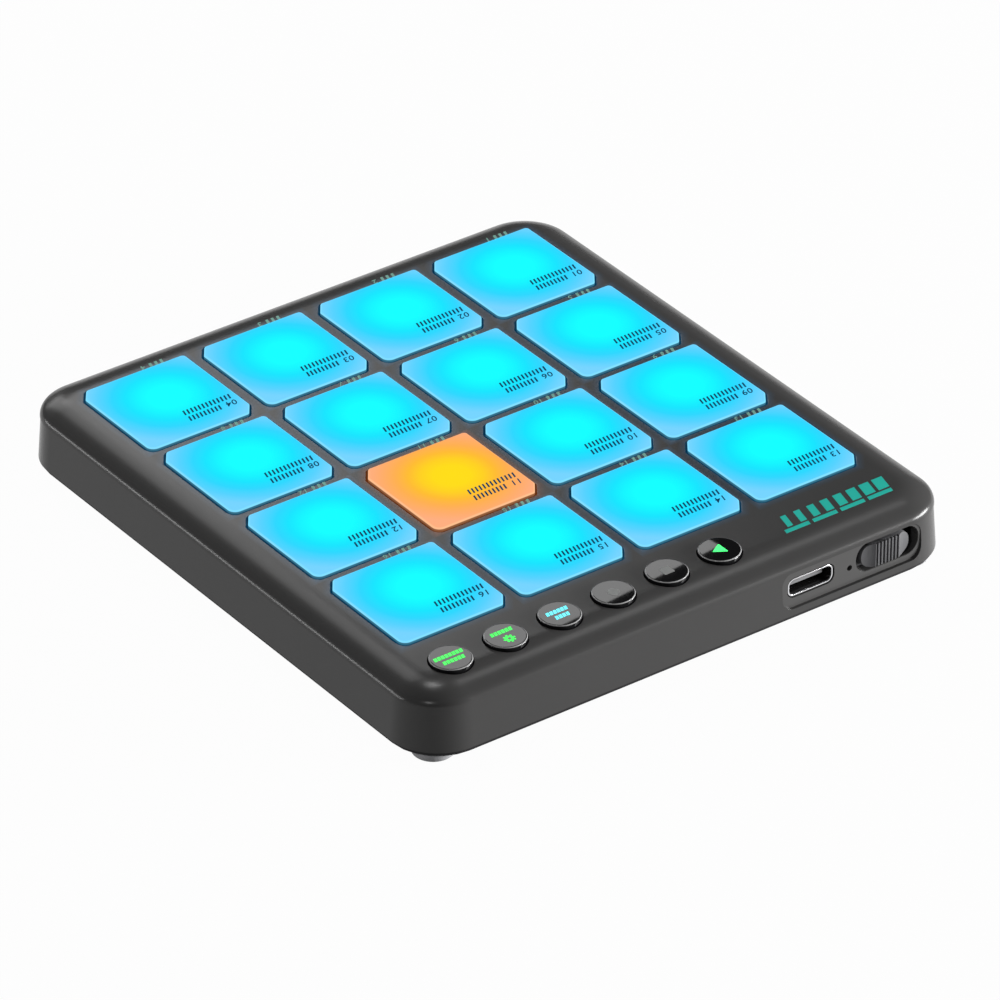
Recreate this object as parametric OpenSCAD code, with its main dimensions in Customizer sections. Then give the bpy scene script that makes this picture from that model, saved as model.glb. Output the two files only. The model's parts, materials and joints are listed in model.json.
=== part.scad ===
// Pad controller: a flat desktop box with a 4 by 4 grid of lit pads, a row of round buttons,
// a USB-C socket and a slide switch in a pocket of its rear wall.
// X runs to the player's right, Y away from the player, Z up. The feet stand on Z = 0.

/* [Case] */
// Case wall to the outer pads, at the left, right and front
pad_margin = 7.3; // [7:0.1:20]
// Depth of the strip behind the pads that holds the buttons
control_strip = 15.7; // [15.5:0.1:30]
// Underside of the bottom cover to the deck
case_h = 11.7; // [10.8:0.1:16]
// Corner radius of the wall in plan, at its lower edge
corner_r = 9; // [8.8:0.1:12]
// Lean of the wall, in degrees
wall_draft = 4.2; // [0:0.1:6]
// Wall thickness at the crease
wall_t = 1.9; // [1.6:0.05:2.2]
// Deck thickness
deck_t = 1.6; // [1.2:0.05:1.8]
// Width of the pillow edge, from the flat of the deck outwards
edge_w = 6.2; // [4.5:0.1:7]
// Height of the pillow edge, from the crease to the deck
edge_h = 3.1; // [2.6:0.1:3.4]
// Tight radius of the pillow edge, just above the crease
edge_r = 1.85; // [1.2:0.05:2.3]
// Overhang of the pillow edge at the crease
crease_step = 0.12; // [0.05:0.01:0.3]

/* [Bottom cover] */
// Thickness of the bottom cover
plate_t = 1.8; // [1.5:0.1:2]
// Height of the rim that shows below the wall
reveal_h = 0.8; // [0.6:0.05:1.1]
// Inset of that rim from the wall
reveal_inset = 0.4; // [0.2:0.05:1]
// Chamfer under that rim
reveal_cut = 0.3; // [0.1:0.05:0.5]
// Parting groove between the rim and the wall
seam_gap = 0.2; // [0.1:0.05:0.4]
// Clearance of the bottom cover inside the wall
cover_gap = 0.2; // [0.1:0.05:0.3]
// Height of the locating rim above the plate
rim_h = 1.2; // [0.8:0.1:1.6]
// Thickness of the locating rim, the hooks and the ribs
rim_t = 1.2; // [1:0.1:1.5]
// Number of hooks along the front edge
hook_count = 3; // [2:1:4]
// Spacing of the hooks
hook_pitch = 30; // [20:1:32]
// Width of a hook
hook_w = 6; // [4:0.5:8]
// Reach of a hook's nib into the wall
hook_nib = 0.5; // [0.4:0.05:0.7]
// Height of the nib
nib_h = 0.7; // [0.5:0.05:0.8]

/* [Pads] */
// Width of a pad
pad_w = 20.6; // [18:0.1:26]
// Depth of a pad
pad_d = 21.1; // [18:0.1:26]
// Strip of deck between two pads side by side
pad_web_w = 2.4; // [2.2:0.1:8]
// Strip of deck between two pads in a column
pad_web_d = 1.9; // [1.7:0.1:8]
// Height of the pad tops above the deck
pad_rise = 0.5; // [0.2:0.05:1.5]
// Bevel round the top of a pad
pad_bevel = 0.3; // [0.1:0.05:0.5]
// Cut corners, along the width
pad_cut_w = 1.65; // [1.2:0.05:3]
// Cut corners, along the depth
pad_cut_d = 2.3; // [1.2:0.05:3]
// Radius of the rear right corner
pad_round_rear = 1.4; // [1.2:0.1:3]
// Radius of the front left corner
pad_round_front = 0.7; // [0.3:0.1:2]
// Gap between a pad and its window
pad_gap = 0.3; // [0.15:0.05:0.35]
// Reach of the pad's flange under the deck
pad_flange_w = 0.35; // [0.2:0.05:0.4]
// Thickness of the flange
pad_flange_t = 0.6; // [0.4:0.05:0.8]
// Thickness of the lit skin on top
pad_skin_t = 1.3; // [0.8:0.1:1.6]
// Inset of the hollow foot under the flange
pad_foot_in = 1; // [0.6:0.1:1.5]
// Wall of the hollow foot
pad_foot_t = 2; // [1:0.1:3]
// Travel of a pad
pad_travel = 0.6; // [0.3:0.05:0.8]

/* [Board stack] */
// Play of a pad or a button below the deck, at rest
rest_gap = 0.1; // [0.05:0.01:0.2]
// Room left over a stop at full travel
stop_gap = 0.2; // [0.1:0.05:0.3]
// Silicone base sheet
mat_t = 1; // [0.6:0.1:1.2]
// Clearance round a pad's foot in that sheet
mat_gap = 0.4; // [0.3:0.05:0.6]
// Force-sensing film
film_t = 0.2; // [0.1:0.05:0.4]
// Circuit board
board_t = 1.2; // [0.8:0.1:1.3]
// Board edge to the wall at the front and the sides
board_gap = 1; // [0.5:0.1:2]
// Board edge to the rear wall
board_back_gap = 1.8; // [1.6:0.1:2.4]
// Pad LED: width, depth and height
pad_led = [3.5, 2.8, 1.2];
// Room round a LED in the film
led_gap = 0.7; // [0.3:0.1:1.2]
// Diameter of the posts that stand on the board between four pads
post_d = 1.7; // [1:0.1:1.8]
// Room round a post in the sheet and the film
post_gap = 0.2; // [0.1:0.05:0.3]

/* [Buttons] */
// Diameter of a button cap
button_d = 6.9; // [5:0.1:7.4]
// Gap round the cap in the deck
button_gap = 0.2; // [0.15:0.05:0.4]
// Height of the caps above the deck
button_rise = 0.6; // [0.3:0.05:1.2]
// Bevel round the top of a cap
button_bevel = 0.4; // [0.2:0.05:0.8]
// Reach of the flange under the deck
button_flange_w = 0.55; // [0.3:0.05:0.6]
// Thickness of the flange
button_flange_t = 0.6; // [0.4:0.05:0.7]
// Wall of the hollow cap
button_wall = 0.85; // [0.6:0.05:1.2]
// Thickness of the cap's top
button_top = 1.2; // [0.8:0.1:1.8]
// Spacing of the buttons
button_pitch = 10.33; // [10.2:0.01:10.6]
// Last button to the right edge of the case
button_side = 10.9; // [10.6:0.1:14]
// Button row to the rear edge of the case
button_back = 8.2; // [8:0.1:8.3]
// Travel of a button
button_travel = 0.4; // [0.2:0.05:0.45]
// Width of a push switch
tact_w = 4.5; // [3.5:0.1:5]
// Height of a push switch
tact_h = 1.5; // [1.2:0.05:1.6]
// Diameter of a switch stem
stem_d = 2.2; // [1.6:0.1:2.6]
// Running gap round a stem
stem_gap = 0.1; // [0.05:0.01:0.2]
// Length of a stem inside its switch
stem_in = 0.5; // [0.3:0.05:0.6]
// Button LED: width, depth and height
button_led = [1.6, 0.8, 0.6];

/* [Rear pocket] */
// Length of the pocket
pocket_l = 27.8; // [27.2:0.1:34]
// Height of the pocket, down from the crease
pocket_h = 6.5; // [6.2:0.1:6.8]
// Corner radius of the pocket
pocket_r = 2.2; // [1:0.1:3]
// Depth of the pocket at the crease
pocket_cut = 0.13; // [0.05:0.01:0.4]
// Left edge of the case to the pocket
pocket_side = 7.4; // [7:0.1:7.6]

/* [USB-C socket] */
// Width of the shell
usb_w = 8.94; // [8.9:0.01:9.2]
// Height of the shell
usb_h = 3.26; // [3.16:0.01:3.4]
// Length of the shell
usb_l = 7.35; // [6.5:0.05:8.5]
// Corner radius of the shell
usb_r = 1.2; // [0.8:0.05:1.5]
// Sheet thickness of the shell
usb_t = 0.3; // [0.2:0.05:0.4]
// Clearance of the shell in the wall and the board
usb_gap = 0.2; // [0.1:0.05:0.3]
// Shell edge to the floor of the pocket
usb_recess = 0.1; // [0:0.05:1]
// Left edge of the case to the socket
usb_side = 29.3; // [28.8:0.1:29.6]
// Socket centre below the board's underside
usb_drop = 0.6; // [0.4:0.05:0.8]
// Tongue: width, length and thickness
usb_tongue_size = [6.69, 4.6, 0.7];
// Plastic block behind the tongue
usb_block_l = 1.6; // [1:0.1:2]

/* [Power switch] */
// Length of the window
slot_w = 12.4; // [11.5:0.1:12.8]
// Height of the window
slot_h = 5.2; // [4.6:0.1:5.4]
// Corner radius of the window
slot_r = 2.4; // [1.5:0.1:2.6]
// Left edge of the case to the window's centre
slot_side = 14.1; // [13.9:0.1:14.3]
// Window centre below the board's underside
slot_drop = 0.4; // [0.3:0.05:0.6]
// Travel of the knob
knob_travel = 1.5; // [1:0.1:2]
// Clearance of the knob at the left end of the window
knob_gap = 0.25; // [0.2:0.05:0.5]
// Length of the knob
knob_l = 9.5; // [9:0.1:10]
// Height of the knob
knob_h = 4.2; // [3.6:0.1:4.4]
// Corner radius of the knob
knob_r = 1.9; // [0.5:0.1:2]
// Crest of the knob above the pocket floor
knob_rise = 0.5; // [0.2:0.05:0.6]
// Ends of the knob below the pocket floor
knob_sink = 0.2; // [0.1:0.05:0.5]
// Length of the ribbed crest
crest_l = 4.7; // [4.4:0.1:5.4]
// Length of the hollow ramp on each side of it
ramp_l = 2.2; // [1.4:0.1:2.4]
// Number of grooves in the crest
groove_count = 7; // [3:1:7]
// Spacing of the grooves
groove_pitch = 0.68; // [0.5:0.01:0.7]
// Width of a groove
groove_w = 0.32; // [0.2:0.01:0.4]
// Depth of a groove
groove_cut = 0.4; // [0.2:0.05:0.5]
// Thickness of the skirt that holds the knob behind the wall
skirt_t = 0.8; // [0.6:0.05:0.9]
// Height of the skirt
skirt_h = 6; // [5.8:0.1:6.2]
// Running gap between the skirt and the wall
skirt_gap = 0.18; // [0.1:0.01:0.3]
// Switch body: width, depth and height
switch_size = [8.6, 3.7, 3.5];
// Lever: width and height
lever_size = [1.6, 1.5];
// Length of the lever inside the switch body
lever_in = 1.8; // [1:0.1:2.2]
// Length of the lever inside the knob
lever_out = 0.6; // [0.4:0.05:0.9]
// Gap round the lever
lever_gap = 0.15; // [0.1:0.01:0.25]

/* [Charge light] */
// Diameter of the pinhole
light_d = 1; // [0.6:0.1:1.6]
// Left edge of the case to the pinhole
light_side = 21.6; // [21.3:0.1:21.8]
// Pinhole below the board's underside
light_drop = 1.15; // [0.8:0.05:1.3]
// Side-firing LED: width, depth and height
light_led = [3, 1, 1.9];

/* [Battery] */
// Width of the cell
battery_w = 68; // [40:1:74]
// Depth of the cell
battery_d = 50; // [30:1:52]
// Thickness of the cell
battery_t = 3; // [2:0.1:3.3]
// Depth of the thin sealed end of the cell
battery_seal = 4; // [3:0.5:6]
// Front edge of the case to the battery
battery_front = 23.5; // [20:0.5:26]
// Adhesive tape below the cell
tape_t = 0.2; // [0.1:0.05:0.3]
// Room round the cell in its bay
bay_gap = 0.6; // [0.3:0.1:1]
// Diameter of a lead wire
lead_d = 0.9; // [0.6:0.1:1.2]
// Spacing of the two lead wires
lead_pitch = 2; // [1.6:0.1:2.4]
// Length of the lead
lead_l = 4; // [3:0.5:8]
// Plug: width, length and height
plug_size = [4.6, 4, 1.8];
// Part of the plug that goes into its socket
plug_in = 3; // [2:0.1:3.5]
// Wall of the socket
socket_wall = 0.6; // [0.4:0.05:0.8]
// Clearance of the plug in the socket
plug_gap = 0.1; // [0.05:0.01:0.2]
// Right edge of the case to the lead
lead_side = 38; // [34:1:60]

/* [Feet and screws] */
// Height of a foot below the bottom cover
foot_h = 1.5; // [0.8:0.1:3]
// Diameter of a foot
foot_d = 7; // [5:0.1:7.6]
// Rounding of a foot's lower edge
foot_round = 0.5; // [0.2:0.05:0.8]
// Depth of a foot's seat in the bottom cover
foot_seat = 0.3; // [0.1:0.05:0.4]
// Clearance round a foot in its seat
foot_gap = 0.15; // [0.1:0.05:0.3]
// Case wall to the centre of a foot
foot_inset = 5.8; // [5.4:0.1:7]
// Diameter of a screw's shank
screw_d = 1.96; // [1.6:0.02:2.2]
// Clearance round the shank in its boss
thread_gap = 0.02; // [0.01:0.01:0.05]
// Length of a screw below its head
screw_l = 5.6; // [4:0.1:6]
// Diameter of a screw head
head_d = 3.8; // [3.4:0.1:3.9]
// Height of a screw head
head_h = 1.2; // [0.8:0.1:1.3]
// Depth of a screw head below the bottom cover's face
head_sink = 0.2; // [0.1:0.05:0.4]
// Clearance round a screw head
head_gap = 0.2; // [0.1:0.05:0.25]
// Outer diameter of a screw tower on the bottom cover
tower_d = 5.4; // [5:0.1:5.5]
// Height of a screw tower above the plate
tower_h = 1.7; // [1.4:0.1:2.2]
// Outer diameter of a screw boss under the deck
boss_d = 4.4; // [3.8:0.1:4.5]
// Clearance of a boss to the pads and the board
boss_gap = 0.4; // [0.3:0.05:0.6]
// Case wall to the outer screws
screw_inset = 5.4; // [5.3:0.1:5.6]

/* [Hidden] */
$fn = 64;
over = 1;
grid_n = 4;
buttons = ["play", "stop", "record", "bank", "settings", "repeat"];

// Plan of the case and the pad grid
pad_pitch = [pad_w + pad_web_w, pad_d + pad_web_d];
grid_w = (grid_n - 1) * pad_pitch[0] + pad_w;
grid_d = (grid_n - 1) * pad_pitch[1] + pad_d;
case_w = grid_w + 2 * pad_margin;
case_d = pad_margin + grid_d + control_strip;
left_x = -case_w / 2;
right_x = case_w / 2;
front_y = -case_d / 2;
rear_y = case_d / 2;
grid_y = front_y + pad_margin + grid_d / 2;
pad_flange_out = pad_gap + pad_flange_w;

// Heights of the case
deck_z = foot_h + case_h;
crease_z = deck_z - edge_h;
wall_z = foot_h + reveal_h + seam_gap;
plate_z = foot_h + plate_t;
under_z = deck_z - deck_t;
draft_run = hundredth((crease_z - wall_z) * tan(wall_draft));

// Pillow edge: a long arc from the deck that runs into a tight arc above the crease
edge_out = corner_r - draft_run + crease_step;
edge_long_r = (pow(edge_w - edge_r, 2) + pow(edge_h, 2) - pow(edge_r, 2)) / (2 * (edge_h - edge_r));
edge_long_c = [edge_out - edge_w, deck_z - edge_long_r];
edge_short_c = [edge_out - edge_r, crease_z];
edge_dir = (edge_short_c - edge_long_c) / norm(edge_short_c - edge_long_c);
edge_join = edge_long_c + edge_long_r * edge_dir;

// Hollow of the top cover
hollow_in = wall_t + draft_run;
hollow_w = case_w - 2 * hollow_in;
hollow_d = case_d - 2 * hollow_in;
hollow_r = corner_r - hollow_in;
inner_rear_y = rear_y - hollow_in;
inner_front_y = front_y + hollow_in;

// Stack below the deck, from the top down
pad_z = deck_z + pad_rise;
flange_z = under_z - rest_gap;
mat_z = flange_z - pad_flange_t - pad_travel - stop_gap - mat_t;
film_z = mat_z - film_t;
board_z = film_z - board_t;
pad_foot_z = mat_z + pad_travel + rest_gap;
board_rear_y = inner_rear_y - board_back_gap;
board_front_y = inner_front_y + board_gap;

// Buttons
button_y = rear_y - button_back;
button_z = deck_z + button_rise;
button_under_z = flange_z - button_flange_t;
button_flange_r = button_d / 2 + button_gap + button_flange_w;
tact_z = film_z + tact_h;

// Rear pocket and what shows in it
pocket_floor_y = rear_y - draft_run - pocket_cut;
pocket_mid = [left_x + pocket_side + pocket_l / 2, crease_z - pocket_h / 2];
usb_mid = [left_x + usb_side, board_z - usb_drop];
usb_front_y = pocket_floor_y - usb_recess;
slot_mid = [left_x + slot_side, board_z - slot_drop];
light_mid = [left_x + light_side, board_z - light_drop];

// Power switch, whose knob rests at the right end of its travel
knob_x = slot_mid[0] - slot_w / 2 + knob_gap + knob_l / 2 + knob_travel;
switch_x = knob_x - knob_travel / 2;
knob_low_y = pocket_floor_y - knob_sink;
knob_crest_y = pocket_floor_y + knob_rise;
skirt_y = inner_rear_y - skirt_gap;
ramp_rise = knob_rise + knob_sink;
ramp_r = (pow(ramp_l, 2) + pow(ramp_rise, 2)) / (2 * ramp_rise);
switch_z = board_z - switch_size[2];
lever_z = switch_z + switch_size[2] / 2;

// Screws and bosses
boss_y = front_y + pad_margin + grid_d + pad_flange_out + boss_gap + boss_d / 2;
boss_z = plate_z + tower_h;
mid_boss_x = button_x(0) - button_flange_r - boss_gap - boss_d / 2;
screw_x = [left_x + screw_inset, mid_boss_x, right_x - screw_inset];
seat_z = foot_h + head_sink + head_h;

// Battery and its lead
battery_z = plate_z + tape_t;
battery_y = front_y + battery_front + battery_d / 2;
bay_w = battery_w + 2 * bay_gap;
bay_d = battery_d + 2 * bay_gap;
lead_x = right_x - lead_side;
lead_y = battery_y + battery_d / 2;
plug_floor_z = plate_z + stop_gap + socket_wall + plug_gap;
lead_z = max(battery_z + battery_t / 2, plug_floor_z + plug_size[2] / 2);
plug_y = lead_y + lead_l;
socket_size = [
    plug_size[0] + 2 * (socket_wall + plug_gap),
    plug_in + socket_wall + plug_gap,
    board_z - lead_z + plug_size[2] / 2 + plug_gap + socket_wall
];

// Chips on the underside of the board, as places from the middle of the bay's rear wall and sizes
bay_rear_y = battery_y + bay_d / 2 + rim_t;
chips = [
    [[9, 11.5], [7, 7, 0.9]],
    [[-3, 15.5], [12, 14, 1.8]],
    [[-30, 14.5], [4, 4, 0.8]],
    [[-30, 21.5], [3, 3, 1]],
    [[32, 13.5], [5, 4, 1.2]],
    [[22, 21.5], [3, 2.5, 0.9]]
];

function hundredth(v) = round(100 * v) / 100;
function two(i) = i < 10 ? str("0", i) : str(i);
function pad_name(i) = str("pad_", two(i));
function pad_place(i) = [
    ((i - 1) % grid_n - (grid_n - 1) / 2) * pad_pitch[0],
    grid_y + (floor((i - 1) / grid_n) - (grid_n - 1) / 2) * pad_pitch[1]
];
function button_x(i) = right_x - button_side - (len(buttons) - 1 - i) * button_pitch;

// Leg of a cut corner after its outline has grown by g
function grown_leg(leg, other, g) = leg + g * (1 + (leg - norm([leg, other])) / other);

// Shapes that repeat

module rounded_rect(w, d, r) {
    square([w - 2 * r, d], center = true);
    square([w, d - 2 * r], center = true);
    for (x = [-1, 1], y = [-1, 1])
        translate([x * (w / 2 - r), y * (d / 2 - r)]) circle(r);
}

// A flat shape in X and Z, extruded towards the rear from y0 to y1
module towards_rear(y0, y1) {
    translate([0, y1, 0]) rotate([90, 0, 0]) linear_extrude(y1 - y0) children();
}

// A section carried round a rounded rectangle: its axis lies on the corner centres
module carried_round(w, d, r, z0, z1) {
    core = [w - 2 * r, d - 2 * r];
    translate([-core[0] / 2, -core[1] / 2, z0]) cube([core[0], core[1], z1 - z0]);
    for (k = [0:3]) {
        along = k % 2 == 0 ? core[1] : core[0];
        out = k % 2 == 0 ? core[0] : core[1];
        rotate(k * 90) translate([out / 2, 0, 0]) {
            rotate([90, 0, 0]) linear_extrude(along, center = true) children();
            translate([0, along / 2, 0]) rotate_extrude(angle = 90) children();
        }
    }
}

module edge_section() {
    polygon([[0, wall_z], [corner_r, wall_z], [corner_r - draft_run, crease_z], [0, crease_z]]);
    translate([0, crease_z]) square([edge_long_c[0], edge_h]);
    intersection() {
        translate(edge_long_c) circle(edge_long_r);
        translate([edge_long_c[0], crease_z]) square([edge_join[0] - edge_long_c[0], edge_h]);
    }
    intersection() {
        translate(edge_short_c) circle(edge_r);
        translate([edge_join[0], crease_z]) square([edge_out - edge_join[0], edge_h]);
    }
}

// What rounding a corner of radius r takes off it; the corner points to +X and +Y
module corner_waste(r) {
    difference() {
        square(r);
        circle(r);
    }
}

// Outline of a pad grown by g: two cut corners and two round ones
module pad_outline(g) {
    x = pad_w / 2 + g;
    y = pad_d / 2 + g;
    cut_w = grown_leg(pad_cut_w, pad_cut_d, g);
    cut_d = grown_leg(pad_cut_d, pad_cut_w, g);
    rear_r = pad_round_rear + g;
    front_r = pad_round_front + g;
    difference() {
        polygon([[-x, -y], [x - cut_w, -y], [x, -y + cut_d], [x, y], [cut_w - x, y], [-x, y - cut_d]]);
        if (rear_r > 0) translate([x - rear_r, y - rear_r]) corner_waste(rear_r);
        if (front_r > 0) translate([front_r - x, front_r - y]) rotate(180) corner_waste(front_r);
    }
}

// Section of a pad with its bevelled top, w wide
module bevelled_section(w) {
    low = flange_z - pad_flange_t;
    polygon([
        [-w / 2, low], [w / 2, low], [w / 2, pad_z - pad_bevel], [w / 2 - pad_bevel, pad_z],
        [pad_bevel - w / 2, pad_z], [-w / 2, pad_z - pad_bevel]
    ]);
}

module at_pads() {
    for (i = [1:grid_n * grid_n]) translate(pad_place(i)) children();
}

// The places where four pads meet
module at_crossings() {
    for (i = [1:grid_n - 1], k = [1:grid_n - 1])
        translate([(i - grid_n / 2) * pad_pitch[0], grid_y + (k - grid_n / 2) * pad_pitch[1]]) children();
}

module at_buttons() {
    for (i = [0:len(buttons) - 1]) translate([button_x(i), button_y]) children();
}

module at_screws() {
    for (x = screw_x) translate([x, boss_y]) children();
}

module at_feet() {
    for (x = [-1, 1], y = [-1, 1])
        translate([x * (case_w / 2 - foot_inset), y * (case_d / 2 - foot_inset)]) children();
}

module at_hooks() {
    for (i = [0:hook_count - 1]) translate([(i - (hook_count - 1) / 2) * hook_pitch, 0]) children();
}

module grid_outline() {
    translate([0, grid_y]) square([grid_w + 2 * pad_flange_out, grid_d + 2 * pad_flange_out], center = true);
}

// Covers

module top_cover() color([0.2, 0.2, 0.21]) {
    nib_z = hook_top() - nib_h;
    difference() {
        carried_round(case_w, case_d, corner_r, wall_z, deck_z) edge_section();
        translate([0, 0, wall_z - over]) linear_extrude(under_z - wall_z + over)
            rounded_rect(hollow_w, hollow_d, hollow_r);
        translate([0, 0, under_z - over]) linear_extrude(deck_t + 2 * over) at_pads() pad_outline(pad_gap);
        translate([0, 0, under_z - over]) at_buttons()
            cylinder(d = button_d + 2 * button_gap, h = deck_t + 2 * over);
        towards_rear(pocket_floor_y, rear_y + over)
            translate(pocket_mid) rounded_rect(pocket_l, pocket_h, pocket_r);
        towards_rear(inner_rear_y - over, rear_y + over) {
            translate(usb_mid) rounded_rect(usb_w + 2 * usb_gap, usb_h + 2 * usb_gap, usb_r + usb_gap);
            translate(slot_mid) rounded_rect(slot_w, slot_h, slot_r);
            translate(light_mid) circle(d = light_d);
        }
        at_hooks() translate([-hook_w / 2 - cover_gap, inner_front_y - hook_nib, nib_z - cover_gap])
            cube([hook_w + 2 * cover_gap, hook_nib + over, nib_h + 2 * cover_gap]);
    }
    at_screws() translate([0, 0, boss_z]) difference() {
        cylinder(d = boss_d, h = under_z - boss_z);
        translate([0, 0, -over]) cylinder(d = screw_d + 2 * thread_gap, h = screw_l + over);
    }
    at_crossings() translate([0, 0, film_z]) cylinder(d = post_d, h = under_z - film_z);
}

// The hooks stop short of the board
function hook_top() = board_z - stop_gap;

module bottom_cover() color([0.22, 0.22, 0.23]) {
    inner_w = hollow_w - 2 * cover_gap;
    inner_d = hollow_d - 2 * cover_gap;
    inner_r = hollow_r - cover_gap;
    edge = corner_r - reveal_inset;
    top = foot_h + reveal_h;
    difference() {
        union() {
            carried_round(case_w - 2 * reveal_inset, case_d - 2 * reveal_inset, edge, foot_h, top)
                polygon([
                    [0, foot_h], [edge - reveal_cut, foot_h],
                    [edge, foot_h + reveal_cut], [edge, top], [0, top]
                ]);
            translate([0, 0, top]) linear_extrude(plate_z - top) rounded_rect(inner_w, inner_d, inner_r);
            translate([0, 0, plate_z]) linear_extrude(rim_h) difference() {
                rounded_rect(inner_w, inner_d, inner_r);
                rounded_rect(inner_w - 2 * rim_t, inner_d - 2 * rim_t, inner_r - rim_t);
                translate([slot_mid[0] - slot_w, inner_d / 2 - over - rim_t])
                    square([2 * slot_w, 2 * over + rim_t]);
            }
            at_screws() translate([0, 0, plate_z]) cylinder(d = tower_d, h = tower_h);
            hooks();
            battery_bay();
        }
        at_screws() {
            translate([0, 0, foot_h - over]) cylinder(d = head_d + 2 * head_gap, h = seat_z - foot_h + over);
            cylinder(d = screw_d + 2 * head_gap, h = boss_z + over);
        }
        at_feet() translate([0, 0, foot_h - over]) cylinder(d = foot_d + 2 * foot_gap, h = foot_seat + over);
    }
}

module hooks() {
    outer_y = inner_front_y + cover_gap;
    at_hooks() translate([-hook_w / 2, outer_y, plate_z]) {
        cube([hook_w, rim_t, hook_top() - plate_z]);
        translate([0, -hook_nib, hook_top() - nib_h - plate_z]) cube([hook_w, hook_nib + rim_t / 2, nib_h]);
    }
}

// Walls round the battery that also carry the board, open where the lead comes out
module battery_bay() {
    translate([0, battery_y, plate_z]) linear_extrude(board_z - plate_z) difference() {
        square([bay_w + 2 * rim_t, bay_d + 2 * rim_t], center = true);
        square([bay_w, bay_d], center = true);
        translate([lead_x, bay_d / 2]) square([2 * socket_size[0], 4 * rim_t], center = true);
    }
}

// Pads and what lies under them

module pad(i) color(i == 11 ? [1, 0.72, 0.2] : [0.1, 0.86, 1]) translate(pad_place(i)) {
    low = flange_z - pad_flange_t;
    hollow = pad_foot_in + pad_foot_t;
    difference() {
        union() {
            intersection() {
                translate([0, 0, low]) linear_extrude(pad_z - low) pad_outline(0);
                towards_rear(-pad_d, pad_d) bevelled_section(pad_w);
                rotate(90) towards_rear(-pad_w, pad_w) bevelled_section(pad_d);
            }
            translate([0, 0, low]) linear_extrude(pad_flange_t) pad_outline(pad_flange_out);
            translate([0, 0, pad_foot_z]) linear_extrude(flange_z - pad_foot_z) pad_outline(-pad_foot_in);
        }
        translate([0, 0, pad_foot_z - over]) linear_extrude(pad_z - pad_skin_t - pad_foot_z + over)
            square([pad_w - 2 * hollow, pad_d - 2 * hollow], center = true);
    }
}

module pad_mat() color([0.82, 0.84, 0.85]) translate([0, 0, mat_z]) linear_extrude(mat_t) difference() {
    grid_outline();
    at_pads() pad_outline(mat_gap - pad_foot_in);
    at_crossings() circle(d = post_d + 2 * post_gap);
}

module sensor_film() color([0.75, 0.6, 0.25]) translate([0, 0, film_z]) linear_extrude(film_t) difference() {
    grid_outline();
    at_pads() square([pad_led[0] + 2 * led_gap, pad_led[1] + 2 * led_gap], center = true);
    at_crossings() circle(d = post_d + 2 * post_gap);
}

module pad_leds() color([0.95, 0.95, 0.9]) at_pads()
    translate([-pad_led[0] / 2, -pad_led[1] / 2, film_z]) cube(pad_led);

module main_board() color([0.05, 0.3, 0.16]) {
    board_w = hollow_w - 2 * board_gap;
    translate([0, 0, board_z]) linear_extrude(board_t) difference() {
        translate([-board_w / 2, board_front_y]) square([board_w, board_rear_y - board_front_y]);
        for (x = [-1, 1]) translate([x * board_w / 2, board_front_y]) circle(hollow_r - board_gap);
        for (x = [-1, 1]) translate([x * board_w / 2, board_rear_y]) circle(hollow_r - board_gap);
        at_screws() circle(d = boss_d + 2 * boss_gap);
        translate([usb_mid[0] - usb_w / 2 - usb_gap, usb_front_y - usb_l - usb_gap])
            square([usb_w + 2 * usb_gap, usb_l]);
    }
}

module board_chips() color([0.1, 0.1, 0.11]) for (chip = chips)
    translate([chip[0][0] - chip[1][0] / 2, bay_rear_y + chip[0][1] - chip[1][1] / 2, board_z - chip[1][2]])
        cube(chip[1]);

// Buttons and their switches

module button(i) color([0.06, 0.06, 0.07]) translate([button_x(i), button_y, 0]) {
    r = button_d / 2;
    roof = button_z - button_top;
    rotate_extrude() polygon([
        [0, button_under_z], [stem_d / 2, button_under_z], [stem_d / 2, roof], [r - button_wall, roof],
        [r - button_wall, button_under_z], [button_flange_r, button_under_z],
        [button_flange_r, flange_z], [r, flange_z],
        [r, button_z - button_bevel], [r - button_bevel, button_z], [0, button_z]
    ]);
}

module stem(i) color([0.75, 0.72, 0.65]) translate([button_x(i), button_y, tact_z - stem_in])
    cylinder(d = stem_d, h = button_under_z - tact_z + stem_in);

module tact_switches() color([0.3, 0.3, 0.31]) at_buttons() difference() {
    translate([-tact_w / 2, -tact_w / 2, film_z]) cube([tact_w, tact_w, tact_h]);
    translate([0, 0, tact_z - stem_in - button_travel - stem_gap])
        cylinder(d = stem_d + 2 * stem_gap, h = stem_in + button_travel + 2 * stem_gap);
}

module button_leds() color([0.9, 0.95, 0.9]) at_buttons()
    translate([-button_led[0] / 2, -tact_w / 2 - 2 * button_led[1], film_z]) cube(button_led);

// USB-C socket

module usb_inside() {
    rounded_rect(usb_w - 2 * usb_t, usb_h - 2 * usb_t, usb_r - usb_t);
}

module usb_shell() color([0.8, 0.8, 0.82]) towards_rear(usb_front_y - usb_l, usb_front_y)
    translate(usb_mid) difference() {
        rounded_rect(usb_w, usb_h, usb_r);
        usb_inside();
    }

module usb_tongue() color([0.12, 0.12, 0.13]) {
    back_y = usb_front_y - usb_l;
    block_y = back_y + usb_block_l;
    towards_rear(back_y, block_y) translate(usb_mid) usb_inside();
    towards_rear(block_y, block_y + usb_tongue_size[1]) translate(usb_mid)
        square([usb_tongue_size[0], usb_tongue_size[2]], center = true);
}

// Power switch

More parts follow.
